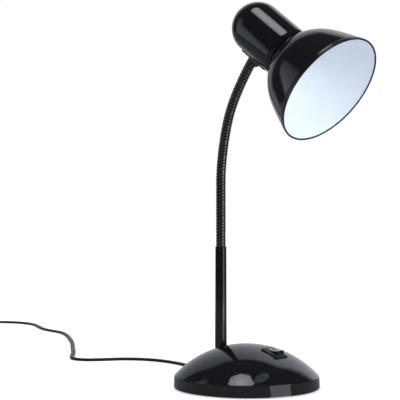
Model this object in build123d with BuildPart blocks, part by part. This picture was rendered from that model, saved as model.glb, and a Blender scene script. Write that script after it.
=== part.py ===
from build123d import *
from math import acos, asin, ceil, cos, degrees, pi, radians, sin, sqrt, tan
import os

os.makedirs("parts", exist_ok=True)

# A table lamp with a weighted dome base, a stem, a ribbed gooseneck, a bell shade and a mains cord.
# Millimetres, +Z up. The origin is on the table under the middle of the base, and +X points from the
# stem towards the shade's mouth.

# Clearances shared by the pieces
slip = 0.05  # a piece and the hole or seat that locates it
play = 0.3  # pieces that pass each other freely

# Base shell: a spherical dome over an upright rim band
base_radius = 72.5
rim_height = 11.0
rim_stand = 1.0  # the rim's height above the table
dome_radius = 98.0
shell_wall = 2.2
rim_edge_radius = 0.7
rim_foot_radius = 1.5

# Bottom plate, foam pad and ballast
pad_thickness = 1.6
pad_inset = 6.5
plate_thickness = 1.5
weight_gap = 24.3  # from the ballast to the shell's inside, for the bosses and the cord's grip
weight_height = 10.0
weight_edge = 1.0
wire_bay_front = 4.0
wire_bay_left = 26.0
wire_bay_right = 13.0
boss_radius = 4.0
boss_gap = 2.0
boss_count = 4
screw_shank_radius = 1.4
screw_head_radius = 3.2
screw_head_height = 1.3
screw_length = 9.0
weight_screw_length = 6.0
weight_screw_inset = 10.0
weight_screw_count = 3

# Stem, with a threaded foot that a nut pulls into the dome's socket
stem_offset = 33.2
stem_radius = 5.5
stem_top = 140.0
stem_lip_radius = 0.6
stem_bore_radius = 4.2
stem_foot_bore_radius = 2.9
socket_wall = 3.6
socket_depth = 11.2
socket_floor = 3.0
thread_radius = 4.0
washer_radius = 8.0
washer_thickness = 1.2
nut_across_flats = 13.0
nut_height = 4.0
thread_end = 0.8  # thread that stands past a nut

# Gooseneck: a straight run, then one arc that meets the head's pad squarely
neck_radius = 4.6
neck_root_radius = 3.6
neck_bore_radius = 2.7
neck_straight = 62.6
neck_bend_radius = 204.7
neck_bend = 37.5
neck_insert = 19.0
rib_flank = 0.45
joint_gap = 1.0
ribs_per_link = 5
neck_joints = 12
neck_ends = 1.682  # length of the neck's two end pieces together, in links
cable_radius = 2.2

# Head: the cap's axis is square to the neck's end
cap_radius = 26.0
cap_wall = 2.0
cap_front = 32.0
cap_edge_radius = 1.6
cap_back = 13.5
pad_reach = 26.3
pad_width = 20.0
pad_back = 11.0
pad_front = 24.5
pad_corner = 3.0
pad_floor = 3.5
gusset_length = 8.0
gusset_height = 7.0
gusset_thickness = 3.5
post_radius = 2.8
post_length = 26.0
holder_screw_radius = 1.2
holder_screw_head = 2.4
holder_screw_recess = 1.4
holder_screw_length = 12.0

# Bell shade, from its mouth back to its collar
mouth_reach = 95.0  # from the neck's line to the mouth
mouth_radius = 58.0
mouth_slope = 14.2
bell_front_radius = 200.0
bell_front_turn = 8.45
bell_back_radius = 82.0
shade_wall = 1.2
bead_radius = 0.95
collar_radius = 24.5
collar_seam = 0.5  # between the collar and the cap

# Lampholder for a bulb with a 27 mm screw cap
holder_thread_radius = 19.0
holder_front = 46.0
holder_back = 8.0
holder_body_radius = 17.5
holder_flange = 2.5
shell_bore_radius = 13.3
shell_sheet = 0.4
shell_depth = 24.0
shell_lip = 5.3
holder_well = 26.0
ring_radius = 22.6
ring_height = 6.0
ring_notches = 16
ring_notch_radius = 0.9
contact_width = 5.0
contact_sheet = 0.5
contact_rise = 2.4
terminal_size = (7.0, 6.0, 7.0)
terminal_offset = 7.0
terminal_hole = 2.0
terminal_screw_radius = 1.0
terminal_screw_head = 1.6

# Rocker switch on the dome, facing square out of it
switch_offset = 34.5
bezel_length = 21.5
bezel_width = 18.0
bezel_height = 2.1
bezel_corner = 1.5
bezel_sink = 0.8
switch_body_length = 19.2
switch_body_width = 12.8
switch_body_depth = 14.0
rocker_half = 7.2
rocker_rise = 4.5
rocker_dip = 3.3
rocker_under = 2.5
rocker_width = 10.6
rocker_tilt = 14.0
pivot_depth = 1.0
pivot_radius = 1.2
pivot_length = 0.8
well_depth = 6.0
blade_width = 4.8
blade_sheet = 0.8
blade_length = 8.0
blade_spacing = 8.0

# Flat mains cord, its gland and its grip
cord_width = 5.4
cord_thickness = 3.4
cord_bevel = 1.1
cord_angle = 150.0
gland_length = 25.0
gland_width = 8.4
gland_height = 6.2
gland_taper = 1.2
gland_flange_width = 11.0
gland_flange_height = 7.8
gland_flange = 2.0
grip_inset = 13.8  # from the shell's inside to the grip's middle
grip_length = 7.0
grip_width = 17.0
clamp_height = 3.0
clamp_screw_offset = 6.0
clamp_screw_radius = 1.2
clamp_screw_head = 2.3
clamp_screw_length = 8.0
sheath_tail = 9.5  # sheath that stands past the grip's middle
wire_radius = 0.9
crimp_start = 19.0
crimp_side = 2.2
core_offset = 1.1
crimp_length = 17.0
wire_bend = 4.0
wire_lift = 5.0  # over the ballast
switch_lead = 7.0  # a wire's straight run at its switch blade

# Coil of the spare cord, its tie and the plug
coil_radius = 36.0
coil_half_turns = 10
coil_gap = 0.5
coil_lift = 1.25
coil_tail = 23.0
tie_width = 6.0
tie_sheet = 0.8
tie_gap = 0.35
plug_width = 35.3
plug_thickness = 13.7
plug_sleeve = 22.0
plug_neck = 18.0
plug_face = 18.0
pin_radius = 2.0
pin_length = 19.0
pin_spacing = 18.6
pin_tip = 0.8

# The cord's route on the table, from the gland to the coil
gland_lead = 15.0
cord_route = [
    (-122, 69.5, 1.7),
    (-150, 81.5, 1.7),
    (-181, 91, 1.7),
    (-212, 92.5, 1.7),
    (-241, 80, 1.7),
    (-257, 56, 1.7),
    (-271, 39.5, 1.7),
    (-289, 38, 1.7),
    (-306, 53, 1.7),
    (-331, 80, 1.7),
    (-366, 112, 1.7),
    (-405, 149, 1.7),
    (-447, 184, 1.7),
    (-484, 213, 1.7),
    (-513, 231, 1.7),
    (-538, 237, 1.7),
    (-563, 243.5, 1.7),
    (-594, 262, 1.7),
    (-626, 282, 1.7),
    (-655, 288, 1.7),
    (-684, 281, 1.7),
    (-708, 262, 1.7),
    (-727.8, 245.1, 1.7),
]

# Heights and places that follow from the sizes above
rim_top = rim_stand + rim_height
dome_centre = rim_top - sqrt(dome_radius**2 - base_radius**2)
inner_radius = base_radius - shell_wall
plate_top = pad_thickness + plate_thickness
weight_radius = inner_radius - weight_gap
weight_top = plate_top + weight_height
weight_screw_circle = weight_radius - weight_screw_inset
boss_circle = weight_radius + boss_gap + boss_radius
grip_radius = inner_radius - grip_inset
sheath_end = grip_radius - sheath_tail


def dome_height(distance, inset=0.0):
    return dome_centre + sqrt((dome_radius - inset) ** 2 - distance**2)


socket_top = dome_height(stem_offset) - socket_depth
socket_base = socket_top - socket_floor
nut_top = socket_base - washer_thickness
stem_foot = nut_top - nut_height - thread_end
weight_screws = PolarLocations(weight_screw_circle, weight_screw_count, -100, 180, endpoint=True)
boss_places = PolarLocations(boss_circle, boss_count, 45)


def dome_half(inset, floor):
    """The half section under the dome, drawn in by inset all over and cut off at floor."""
    radius = base_radius - inset
    swing = degrees(asin(radius / (dome_radius - inset)))
    with BuildLine() as outline:
        Polyline((0, floor), (radius, floor), (radius, dome_height(radius, inset)))
        CenterArc((0, dome_centre), dome_radius - inset, 90 - swing, swing)
        Line((0, dome_height(0, inset)), (0, floor))
    return outline.edges()


# The switch stands on the dome with its x axis pointing down the slope
switch_tilt = asin(switch_offset / dome_radius)
switch_plane = Plane(
    origin=(switch_offset, 0, dome_height(switch_offset)),
    x_dir=(cos(switch_tilt), 0, -sin(switch_tilt)),
    z_dir=(sin(switch_tilt), 0, cos(switch_tilt)),
)
cord_height = plate_top + slip + gland_flange_height / 2
cord_out = Vector(cos(radians(cord_angle)), sin(radians(cord_angle)), 0)
cord_side = Vector(-cord_out.Y, cord_out.X, 0)
gland_end = base_radius + gland_length
crimp_radius = cord_height - plate_top - slip


def cord_plane(radius):
    """A plane square to the cord where it leaves the base."""
    return Plane(origin=cord_out * radius + Vector(0, 0, cord_height), x_dir=cord_side, z_dir=cord_out)


# Base shell, with its screw bosses, stem socket, switch seat and cord hole
with BuildPart() as base_shell:
    with BuildSketch(Plane.XY.offset(plate_top)):
        with boss_places:
            Circle(boss_radius)
    extrude(amount=dome_radius)
    with BuildSketch(Plane.XY.offset(socket_base)):
        with Locations((-stem_offset, 0)):
            Circle(stem_radius + socket_wall)
    extrude(amount=dome_radius)
    with BuildSketch(Plane.XZ):
        make_face(dome_half(shell_wall / 2, 0))
    revolve(axis=Axis.Z, mode=Mode.INTERSECT)
    with BuildSketch(Plane.XZ):
        make_face(dome_half(0, rim_stand))
        make_face(dome_half(shell_wall, rim_stand), mode=Mode.SUBTRACT)
    revolve(axis=Axis.Z)
    rim_edges = base_shell.edges().filter_by(GeomType.CIRCLE)
    rim_edges = rim_edges.filter_by(lambda edge: abs(edge.radius - base_radius) < slip)
    fillet(rim_edges.sort_by(Axis.Z)[0], rim_foot_radius)
    rim_edges = base_shell.edges().filter_by(GeomType.CIRCLE)
    rim_edges = rim_edges.filter_by(lambda edge: abs(edge.radius - base_radius) < slip)
    fillet(rim_edges.sort_by(Axis.Z)[-1], rim_edge_radius)
    with BuildSketch(Plane.XY.offset(plate_top)):
        with boss_places:
            Circle(screw_shank_radius + slip)
    extrude(amount=screw_length + play - plate_thickness, mode=Mode.SUBTRACT)
    with BuildSketch(Plane.XY.offset(socket_top)):
        with Locations((-stem_offset, 0)):
            Circle(stem_radius + slip)
    extrude(amount=dome_radius, mode=Mode.SUBTRACT)
    with BuildSketch(Plane.XY.offset(socket_base)):
        with Locations((-stem_offset, 0)):
            Circle(thread_radius + slip)
    extrude(amount=2 * socket_floor, mode=Mode.SUBTRACT)
    with BuildSketch(switch_plane.offset(-bezel_sink)):
        RectangleRounded(bezel_length + play, bezel_width + play, bezel_corner)
    extrude(amount=2 * bezel_height, mode=Mode.SUBTRACT)
    with BuildSketch(switch_plane.offset(-bezel_sink)):
        Rectangle(switch_body_length + 2 * slip, switch_body_width + 2 * slip)
    extrude(amount=-4 * shell_wall, mode=Mode.SUBTRACT)
    with BuildSketch(cord_plane(inner_radius - shell_wall)):
        SlotOverall(gland_width + 2 * slip, gland_height + 2 * slip)
    extrude(amount=3 * shell_wall, mode=Mode.SUBTRACT)
base_shell.part.label = "base_shell"
export_step(base_shell.part, "parts/base_shell.step")

# Bottom plate, screwed to the bosses
with BuildPart() as base_plate:
    with BuildSketch(Plane.XY.offset(pad_thickness)):
        Circle(inner_radius - play)
        with boss_places:
            Circle(screw_shank_radius + slip, mode=Mode.SUBTRACT)
        with weight_screws:
            Circle(screw_shank_radius + slip, mode=Mode.SUBTRACT)
    extrude(amount=plate_thickness)
base_plate.part.label = "base_plate"
export_step(base_plate.part, "parts/base_plate.step")

# Foam pad under the plate, with a hole round each screw head
with BuildPart() as foam_pad:
    with BuildSketch():
        Circle(base_radius - pad_inset)
        with boss_places:
            Circle(screw_head_radius + play, mode=Mode.SUBTRACT)
        with weight_screws:
            Circle(screw_head_radius + play, mode=Mode.SUBTRACT)
    extrude(amount=pad_thickness)
foam_pad.part.label = "foam_pad"
export_step(foam_pad.part, "parts/foam_pad.step")

# Cast ballast, open at the back for the wires and cut away under the switch
with BuildPart() as base_weight:
    with BuildSketch(Plane.XY.offset(plate_top)):
        Circle(weight_radius)
        with Locations((wire_bay_front - weight_radius, (wire_bay_left - wire_bay_right) / 2)):
            Rectangle(2 * weight_radius, wire_bay_left + wire_bay_right, mode=Mode.SUBTRACT)
    extrude(amount=weight_height)
    fillet(base_weight.faces().sort_by(Axis.Z)[-1].edges(), weight_edge)
    with BuildSketch(Plane.XY.offset(plate_top)):
        with weight_screws:
            Circle(screw_shank_radius + slip)
    extrude(amount=weight_screw_length - plate_thickness + play, mode=Mode.SUBTRACT)
    with BuildSketch(switch_plane):
        Rectangle(switch_body_length + 2 * wire_bend, blade_width + 4 * switch_lead)
    extrude(amount=-bezel_sink - switch_body_depth - blade_length - play, mode=Mode.SUBTRACT)
base_weight.part.label = "base_weight"
export_step(base_weight.part, "parts/base_weight.step")


def pan_screws(places, length):
    """Screws that come up through the plate, heads in the foam pad's holes."""
    with BuildSketch(Plane.XY.offset(pad_thickness)) as heads:
        with places:
            Circle(screw_head_radius)
    extrude(heads.sketch, amount=-screw_head_height)
    with BuildSketch(Plane.XY.offset(pad_thickness)) as shanks:
        with places:
            Circle(screw_shank_radius)
    extrude(shanks.sketch, amount=length)


with BuildPart() as plate_screws:
    pan_screws(boss_places, screw_length)
plate_screws.part.label = "plate_screws"
export_step(plate_screws.part, "parts/plate_screws.step")

with BuildPart() as ballast_screws:
    pan_screws(weight_screws, weight_screw_length)
ballast_screws.part.label = "ballast_screws"
export_step(ballast_screws.part, "parts/ballast_screws.step")

# Stem: thread, shoulder, long bore and the seat that takes the neck's end
with BuildPart() as stem_tube:
    with BuildSketch(Plane.XZ.shift_origin((-stem_offset, 0, 0))):
        with BuildLine():
            Polyline(
                (stem_foot_bore_radius, stem_foot),
                (thread_radius, stem_foot),
                (thread_radius, socket_top),
                (stem_radius, socket_top),
                (stem_radius, stem_top),
                (neck_radius + 2 * slip, stem_top),
                (neck_radius + 2 * slip, stem_top - neck_insert),
                (stem_bore_radius, stem_top - neck_insert),
                (stem_bore_radius, socket_top + socket_floor),
                (stem_foot_bore_radius, socket_top + socket_floor),
                close=True,
            )
        make_face()
    revolve(axis=Axis((-stem_offset, 0, 0), (0, 0, 1)))
    lip = stem_tube.edges().filter_by(GeomType.CIRCLE).filter_by(lambda edge: edge.radius > neck_radius + play)
    fillet(lip.sort_by(Axis.Z)[-1], stem_lip_radius)
stem_tube.part.label = "stem_tube"
export_step(stem_tube.part, "parts/stem_tube.step")

with BuildPart() as stem_washer:
    with BuildSketch(Plane.XY.offset(nut_top)):
        with Locations((-stem_offset, 0)):
            Circle(washer_radius)
            Circle(thread_radius + slip, mode=Mode.SUBTRACT)
    extrude(amount=washer_thickness)
stem_washer.part.label = "stem_washer"
export_step(stem_washer.part, "parts/stem_washer.step")

with BuildPart() as stem_nut:
    with BuildSketch(Plane.XY.offset(nut_top - nut_height)):
        with Locations((-stem_offset, 0)):
            RegularPolygon(nut_across_flats / 2, 6, major_radius=False)
            Circle(thread_radius + slip, mode=Mode.SUBTRACT)
    extrude(amount=nut_height)
stem_nut.part.label = "stem_nut"
export_step(stem_nut.part, "parts/stem_nut.step")

# Gooseneck: rib-by-rib links on the neck's own curve, hinged in the grooves between them
neck_length = neck_straight + neck_bend_radius * radians(neck_bend)
link_pitch = neck_length / (neck_joints - 1 + neck_ends)
rib_pitch = link_pitch / ribs_per_link
first_joint = (neck_length - (neck_joints - 1) * link_pitch) / 2


def neck_plane(travel):
    """A plane square to the neck, travel millimetres along it from the stem's top."""
    turn = max(0.0, travel - neck_straight) / neck_bend_radius
    rise = min(travel, neck_straight) + neck_bend_radius * sin(turn)
    lean = neck_bend_radius * (1 - cos(turn))
    return Plane(
        origin=(lean - stem_offset, 0, stem_top + rise), x_dir=(0, 1, 0), z_dir=(sin(turn), 0, cos(turn))
    )


def ribs(start, count):
    """Places and radii of the circles that make a row of ribs with a groove between neighbours."""
    rings = [(start, neck_root_radius)]
    for rib in range(count):
        foot = start + rib * rib_pitch
        crest = rib_pitch - joint_gap - 2 * rib_flank
        rings += [(foot + rib_flank, neck_radius), (foot + rib_flank + crest, neck_radius)]
        if rib < count - 1:
            rings += [(foot + rib_pitch - joint_gap / 2, neck_root_radius)]
    return rings + [(start + count * rib_pitch - joint_gap, neck_root_radius)]


def turned_link(first, last, rings):
    """A ribbed tube turned about the chord between two places on the neck."""
    origin = neck_plane(first).origin
    along = (neck_plane(last).origin - origin).normalized()
    with BuildSketch(Plane(origin, x_dir=(0, 1, 0), z_dir=(along.Z, 0, -along.X))) as half:
        with BuildLine():
            outside = [(radius, place) for place, radius in rings]
            Polyline((neck_bore_radius, rings[0][0]), *outside, (neck_bore_radius, rings[-1][0]), close=True)
        make_face()
    revolve(half.sketch, axis=Axis(origin, along))


# The lowest link is pressed into the stem
root_ribs = ceil((first_joint - joint_gap / 2) / rib_pitch)
root_start = first_joint + joint_gap / 2 - root_ribs * rib_pitch
with BuildPart() as neck_root:
    plain = [(-neck_insert, neck_radius), (root_start - joint_gap - rib_flank, neck_radius)]
    turned_link(0, first_joint, plain + ribs(root_start, root_ribs))
neck_root.part.label = "neck_root"
export_step(neck_root.part, "parts/neck_root.step")

for number in range(1, neck_joints):
    joint = first_joint + (number - 1) * link_pitch
    with BuildPart() as neck_link:
        turned_link(joint, joint + link_pitch, ribs(joint_gap / 2, ribs_per_link))
    neck_link.part.label = f"neck_link_{number:02d}"
    export_step(neck_link.part, f"parts/neck_link_{number:02d}.step")

# The head's own directions: up away from the neck, forward out of the shade's mouth
tilt = radians(neck_bend)
up = Vector(sin(tilt), 0, cos(tilt))
forward = Vector(cos(tilt), 0, -sin(tilt))
neck_end = neck_plane(neck_length).origin
head_centre = neck_end + up * pad_reach
head_plane = Plane(origin=head_centre, x_dir=up, z_dir=(0, 1, 0))
head_axis = Axis(head_centre, forward)


def across(reach):
    """A plane square to the head's axis, reach millimetres in front of the neck's line."""
    return Plane(origin=head_centre + forward * reach, x_dir=up, z_dir=forward)


def under(drop):
    """A plane along the head's axis, drop millimetres below it, facing the neck."""
    return Plane(origin=head_centre - up * drop, x_dir=forward, z_dir=up * -1)


def head_point(height, reach, side):
    return head_centre + up * height + forward * reach + Vector(0, side, 0)


# The highest link ends in a full ring, cut flush with the head's pad
last_joint = first_joint + (neck_joints - 1) * link_pitch
tip_length = neck_length - last_joint
tip_ribs = int((tip_length - joint_gap) / rib_pitch)
with BuildPart() as neck_tip:
    groove = joint_gap / 2 + tip_ribs * rib_pitch - joint_gap / 2
    end_ring = [(groove, neck_root_radius), (groove + rib_flank, neck_radius), (tip_length + play, neck_radius)]
    turned_link(last_joint, neck_length, ribs(joint_gap / 2, tip_ribs)[:-1] + end_ring)
    split(bisect_by=under(pad_reach), keep=Keep.TOP)
neck_tip.part.label = "neck_tip"
export_step(neck_tip.part, "parts/neck_tip.step")

# Cap: a round-ended cover with the neck's pad, a gusset and two screw posts
flange_back = cap_front + collar_seam - holder_flange
post_offset = cap_radius - cap_wall - post_radius + play
with BuildPart() as lamp_cap:
    with BuildSketch(head_plane):
        with BuildLine():
            Polyline((0, cap_front), (cap_radius, cap_front), (cap_radius, -cap_back))
            CenterArc((0, -cap_back), cap_radius, 0, -90)
            Line((0, -cap_back - cap_radius), (0, cap_front))
        make_face()
    revolve(axis=head_axis)
    fillet(lamp_cap.edges().filter_by(GeomType.CIRCLE).sort_by(head_axis)[-1], cap_edge_radius)
    with BuildSketch(under(pad_reach)) as pad_outline:
        with Locations(((pad_front - pad_back) / 2, 0)):
            Rectangle(pad_front + pad_back, pad_width)
        fillet(pad_outline.vertices().group_by(Axis.X)[0], pad_corner)
    extrude(amount=-pad_width / 2)
    with BuildSketch(head_plane):
        with BuildLine():
            gusset_foot = neck_radius + play
            Polyline(
                (-pad_reach + pad_floor / 2, gusset_foot),
                (-pad_reach - gusset_height, gusset_foot),
                (-pad_reach, gusset_foot + gusset_length),
                (-pad_reach + pad_floor / 2, gusset_foot + gusset_length),
                close=True,
            )
        make_face()
    extrude(amount=gusset_thickness / 2, both=True)
    with BuildSketch(head_plane):
        with BuildLine():
            hollow = cap_radius - cap_wall
            Polyline((0, cap_front + play), (hollow, cap_front + play), (hollow, -cap_back))
            CenterArc((0, -cap_back), hollow, 0, -90)
            Line((0, -cap_back - hollow), (0, cap_front + play))
        make_face()
    revolve(axis=head_axis, mode=Mode.SUBTRACT)
    with BuildSketch(under(pad_reach - pad_floor)):
        Rectangle(2 * pad_back, pad_width - pad_floor)
    extrude(amount=pad_floor - slip)
    with BuildSketch(across(flange_back)):
        with Locations((0, post_offset), (0, -post_offset)):
            Circle(post_radius)
    extrude(amount=-post_length)
    with BuildSketch(across(flange_back)):
        with Locations((0, post_offset), (0, -post_offset)):
            Circle(holder_screw_radius + slip)
    extrude(amount=-holder_screw_length, mode=Mode.SUBTRACT)
    with BuildSketch(under(pad_reach)):
        Circle(thread_radius + slip)
    extrude(amount=-2 * pad_floor, mode=Mode.SUBTRACT)
lamp_cap.part.label = "lamp_cap"
export_step(lamp_cap.part, "parts/lamp_cap.step")

# Threaded nipple on the neck's end, pulled up by a washer and nut inside the cap
nipple_length = pad_floor + washer_thickness + nut_height + thread_end
with BuildPart() as neck_nipple:
    with BuildSketch(under(pad_reach)):
        Circle(thread_radius)
        Circle(neck_bore_radius, mode=Mode.SUBTRACT)
    extrude(amount=-nipple_length)
neck_nipple.part.label = "neck_nipple"
export_step(neck_nipple.part, "parts/neck_nipple.step")

with BuildPart() as nipple_washer:
    with BuildSketch(under(pad_reach - pad_floor)):
        Circle(nut_across_flats / 2)
        Circle(thread_radius + slip, mode=Mode.SUBTRACT)
    extrude(amount=-washer_thickness)
nipple_washer.part.label = "nipple_washer"
export_step(nipple_washer.part, "parts/nipple_washer.step")

with BuildPart() as nipple_nut:
    with BuildSketch(under(pad_reach - pad_floor - washer_thickness)):
        RegularPolygon(nut_across_flats / 2, 6, major_radius=False, rotation=30)
        Circle(thread_radius + slip, mode=Mode.SUBTRACT)
    extrude(amount=-nut_height)
nipple_nut.part.label = "nipple_nut"
export_step(nipple_nut.part, "parts/nipple_nut.step")

# Shade: one sheet, spun on two arcs from the beaded mouth to the collar
shade_back = cap_front + collar_seam
front_angle = radians(mouth_slope)
join_angle = radians(mouth_slope + bell_front_turn)
front_centre = Vector(
    mouth_radius - bell_front_radius * cos(front_angle),
    mouth_reach + bell_front_radius * sin(front_angle),
)
back_centre = front_centre + Vector(cos(join_angle), -sin(join_angle)) * (bell_front_radius - bell_back_radius)


def bell_line(inset):
    """One face of the bell's sheet, from the mouth back to the collar."""
    back_radius = bell_back_radius - inset
    end_angle = acos((collar_radius - inset - back_centre.X) / back_radius)
    front = CenterArc(front_centre, bell_front_radius - inset, -mouth_slope, -bell_front_turn)
    turn = degrees(end_angle - join_angle)
    back = CenterArc(back_centre, back_radius, -degrees(join_angle), -turn)
    return front, back


with BuildPart() as shade:
    with BuildSketch(head_plane):
        with BuildLine():
            outer_front, outer_back = bell_line(0)
            inner_front, inner_back = bell_line(shade_wall)
            Line(outer_front @ 0, inner_front @ 0)
            Polyline(
                outer_back @ 1,
                (collar_radius, shade_back),
                (holder_thread_radius + slip, shade_back),
                (holder_thread_radius + slip, shade_back + shade_wall),
                (collar_radius - shade_wall, shade_back + shade_wall),
                inner_back @ 1,
            )
        make_face()
        with Locations((mouth_radius - bead_radius, mouth_reach - bead_radius / 2)):
            Circle(bead_radius)
    revolve(axis=head_axis)
shade.part.label = "shade"
export_step(shade.part, "parts/shade.step")

# Lampholder body, seated in the cap's mouth on the two posts
well_floor = holder_front - holder_well
with BuildPart() as lampholder_body:
    with BuildSketch(head_plane):
        with BuildLine():
            flange_radius = cap_radius - cap_wall - play
            well_radius = shell_bore_radius + 2 * shell_sheet
            Polyline(
                (0, holder_back),
                (holder_body_radius, holder_back),
                (holder_body_radius, flange_back),
                (flange_radius, flange_back),
                (flange_radius, shade_back),
                (holder_thread_radius, shade_back),
                (holder_thread_radius, holder_front),
                (well_radius, holder_front),
                (well_radius, well_floor),
                (0, well_floor),
                close=True,
            )
        make_face()
    revolve(axis=head_axis)
    with BuildSketch(across(shade_back)):
        with Locations((0, post_offset), (0, -post_offset)):
            Circle(holder_screw_head + slip)
    extrude(amount=-holder_screw_recess, mode=Mode.SUBTRACT)
    with BuildSketch(across(flange_back)):
        with Locations((0, post_offset), (0, -post_offset)):
            Circle(holder_screw_radius + slip)
    extrude(amount=holder_flange, mode=Mode.SUBTRACT)
    with BuildSketch(across(holder_back)):
        with Locations((0, terminal_offset), (0, -terminal_offset)):
            Rectangle(terminal_size[0] + 2 * slip, terminal_size[1] + 2 * slip)
    extrude(amount=terminal_size[2], mode=Mode.SUBTRACT)
lampholder_body.part.label = "lampholder_body"
export_step(lampholder_body.part, "parts/lampholder_body.step")

with BuildPart() as holder_screws:
    with BuildSketch(across(shade_back - holder_screw_recess)):
        with Locations((0, post_offset), (0, -post_offset)):
            Circle(holder_screw_head)
    extrude(amount=holder_screw_recess - slip)
    with BuildSketch(across(shade_back - holder_screw_recess)):
        with Locations((0, post_offset), (0, -post_offset)):
            Circle(holder_screw_radius)
    extrude(amount=-holder_screw_length + holder_flange)
holder_screws.part.label = "holder_screws"
export_step(holder_screws.part, "parts/holder_screws.step")

# Screw shell, dished at its foot round the centre contact, in the lampholder's well
with BuildPart() as screw_shell:
    with BuildSketch(head_plane):
        with BuildLine():
            shell_outside = shell_bore_radius + shell_sheet
            shell_dish = well_floor + contact_rise + contact_sheet + play
            Polyline(
                (shell_bore_radius - shell_lip, well_floor),
                (shell_outside, shell_dish - shell_sheet),
                (shell_outside, well_floor + shell_depth),
                (shell_bore_radius, well_floor + shell_depth),
                (shell_bore_radius, shell_dish),
                (shell_bore_radius - shell_lip, well_floor + shell_sheet),
                close=True,
            )
        make_face()
    revolve(axis=head_axis)
screw_shell.part.label = "screw_shell"
export_step(screw_shell.part, "parts/screw_shell.step")

with BuildPart() as centre_contact:
    with BuildSketch(head_plane):
        with BuildLine():
            foot = shell_bore_radius - shell_lip - 3 * contact_sheet
            Polyline(
                (-foot, well_floor),
                (-contact_rise, well_floor),
                (contact_rise, well_floor + contact_rise),
                (contact_rise, well_floor + contact_rise + contact_sheet),
                (-contact_rise, well_floor + contact_sheet),
                (-foot, well_floor + contact_sheet),
                close=True,
            )
        make_face()
    extrude(amount=contact_width / 2, both=True)
centre_contact.part.label = "centre_contact"
export_step(centre_contact.part, "parts/centre_contact.step")

# Shade ring on the lampholder's thread, notched for the fingers
with BuildPart() as shade_ring:
    with BuildSketch(across(shade_back + shade_wall)):
        Circle(ring_radius)
        Circle(holder_thread_radius + slip, mode=Mode.SUBTRACT)
        with PolarLocations(ring_radius, ring_notches):
            Circle(ring_notch_radius, mode=Mode.SUBTRACT)
    extrude(amount=ring_height)
shade_ring.part.label = "shade_ring"
export_step(shade_ring.part, "parts/shade_ring.step")

# Terminal blocks in the lampholder's back, each with a wire hole and a screw
with BuildPart() as terminal_blocks:
    with BuildSketch(across(holder_back)):
        with Locations((0, terminal_offset), (0, -terminal_offset)):
            Rectangle(terminal_size[0], terminal_size[1])
        with Locations((-terminal_hole, terminal_offset), (-terminal_hole, -terminal_offset)):
            Circle(wire_radius + slip, mode=Mode.SUBTRACT)
        with Locations((terminal_hole, terminal_offset), (terminal_hole, -terminal_offset)):
            Circle(terminal_screw_radius + slip, mode=Mode.SUBTRACT)
    extrude(amount=terminal_size[2])
terminal_blocks.part.label = "terminal_blocks"
export_step(terminal_blocks.part, "parts/terminal_blocks.step")

with BuildPart() as terminal_screws:
    with BuildSketch(across(holder_back)):
        with Locations((terminal_hole, terminal_offset), (terminal_hole, -terminal_offset)):
            Circle(terminal_screw_head)
    extrude(amount=-terminal_screw_head / 2)
    with BuildSketch(across(holder_back)):
        with Locations((terminal_hole, terminal_offset), (terminal_hole, -terminal_offset)):
            Circle(terminal_screw_radius)
    extrude(amount=terminal_size[2] - play)
terminal_screws.part.label = "terminal_screws"
export_step(terminal_screws.part, "parts/terminal_screws.step")

# Cable from the base through the stem and neck into the head
cable_low = stem_foot - 2 * thread_end
cable_high = nipple_length + 2 * cable_radius
with BuildPart() as neck_cable:
    with BuildLine() as cable_line:
        bend_start = neck_plane(neck_straight).origin
        rise_line = Line((-stem_offset, 0, cable_low), bend_start)
        neck_middle = neck_plane((neck_straight + neck_length) / 2).origin
        ThreePointArc(bend_start, neck_middle, neck_end)
        Line(neck_end, neck_end + up * cable_high)
    with BuildSketch(Plane.XY.offset(cable_low)):
        with Locations((-stem_offset, 0)):
            Circle(cable_radius)
    sweep()
neck_cable.part.label = "neck_cable"
export_step(neck_cable.part, "parts/neck_cable.step")


def bend_radii(points, largest=1000.0):
    """A radius for each corner that leaves a straight stretch between neighbouring arcs."""
    runs = [end - start for start, end in zip(points, points[1:])]
    radii = []
    for before, after in zip(runs, runs[1:]):
        half_turn = radians(before.get_angle(after)) / 2
        radii.append(min(largest, 0.45 * min(before.length, after.length) / tan(half_turn)))
    return radii


def wire(points):
    """A single insulated wire on straight runs and arcs."""
    points = [Vector(*point) for point in points]
    with BuildLine() as route:
        FilletPolyline(*points, radius=bend_radii(points, wire_bend))
    with BuildSketch(Plane(origin=route.wire() @ 0, z_dir=route.wire() % 0)) as section:
        Circle(wire_radius)
    sweep(section.sketch, path=route.wire())


# Head wires from the cable's end to the terminal blocks
cable_exit = cable_high - pad_reach
with BuildPart() as head_wires:
    for side in (1, -1):
        wire(
            [
                head_point(cable_exit + play, 0, side * core_offset),
                head_point(cable_exit + 8, -1.5, side * 2.2),
                head_point(-terminal_hole - 1, -5, side * 5.5),
                head_point(-terminal_hole, holder_back - 7, side * terminal_offset),
                head_point(-terminal_hole, holder_back + 2, side * terminal_offset),
            ]
        )
head_wires.part.label = "head_wires"
export_step(head_wires.part, "parts/head_wires.step")

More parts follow.
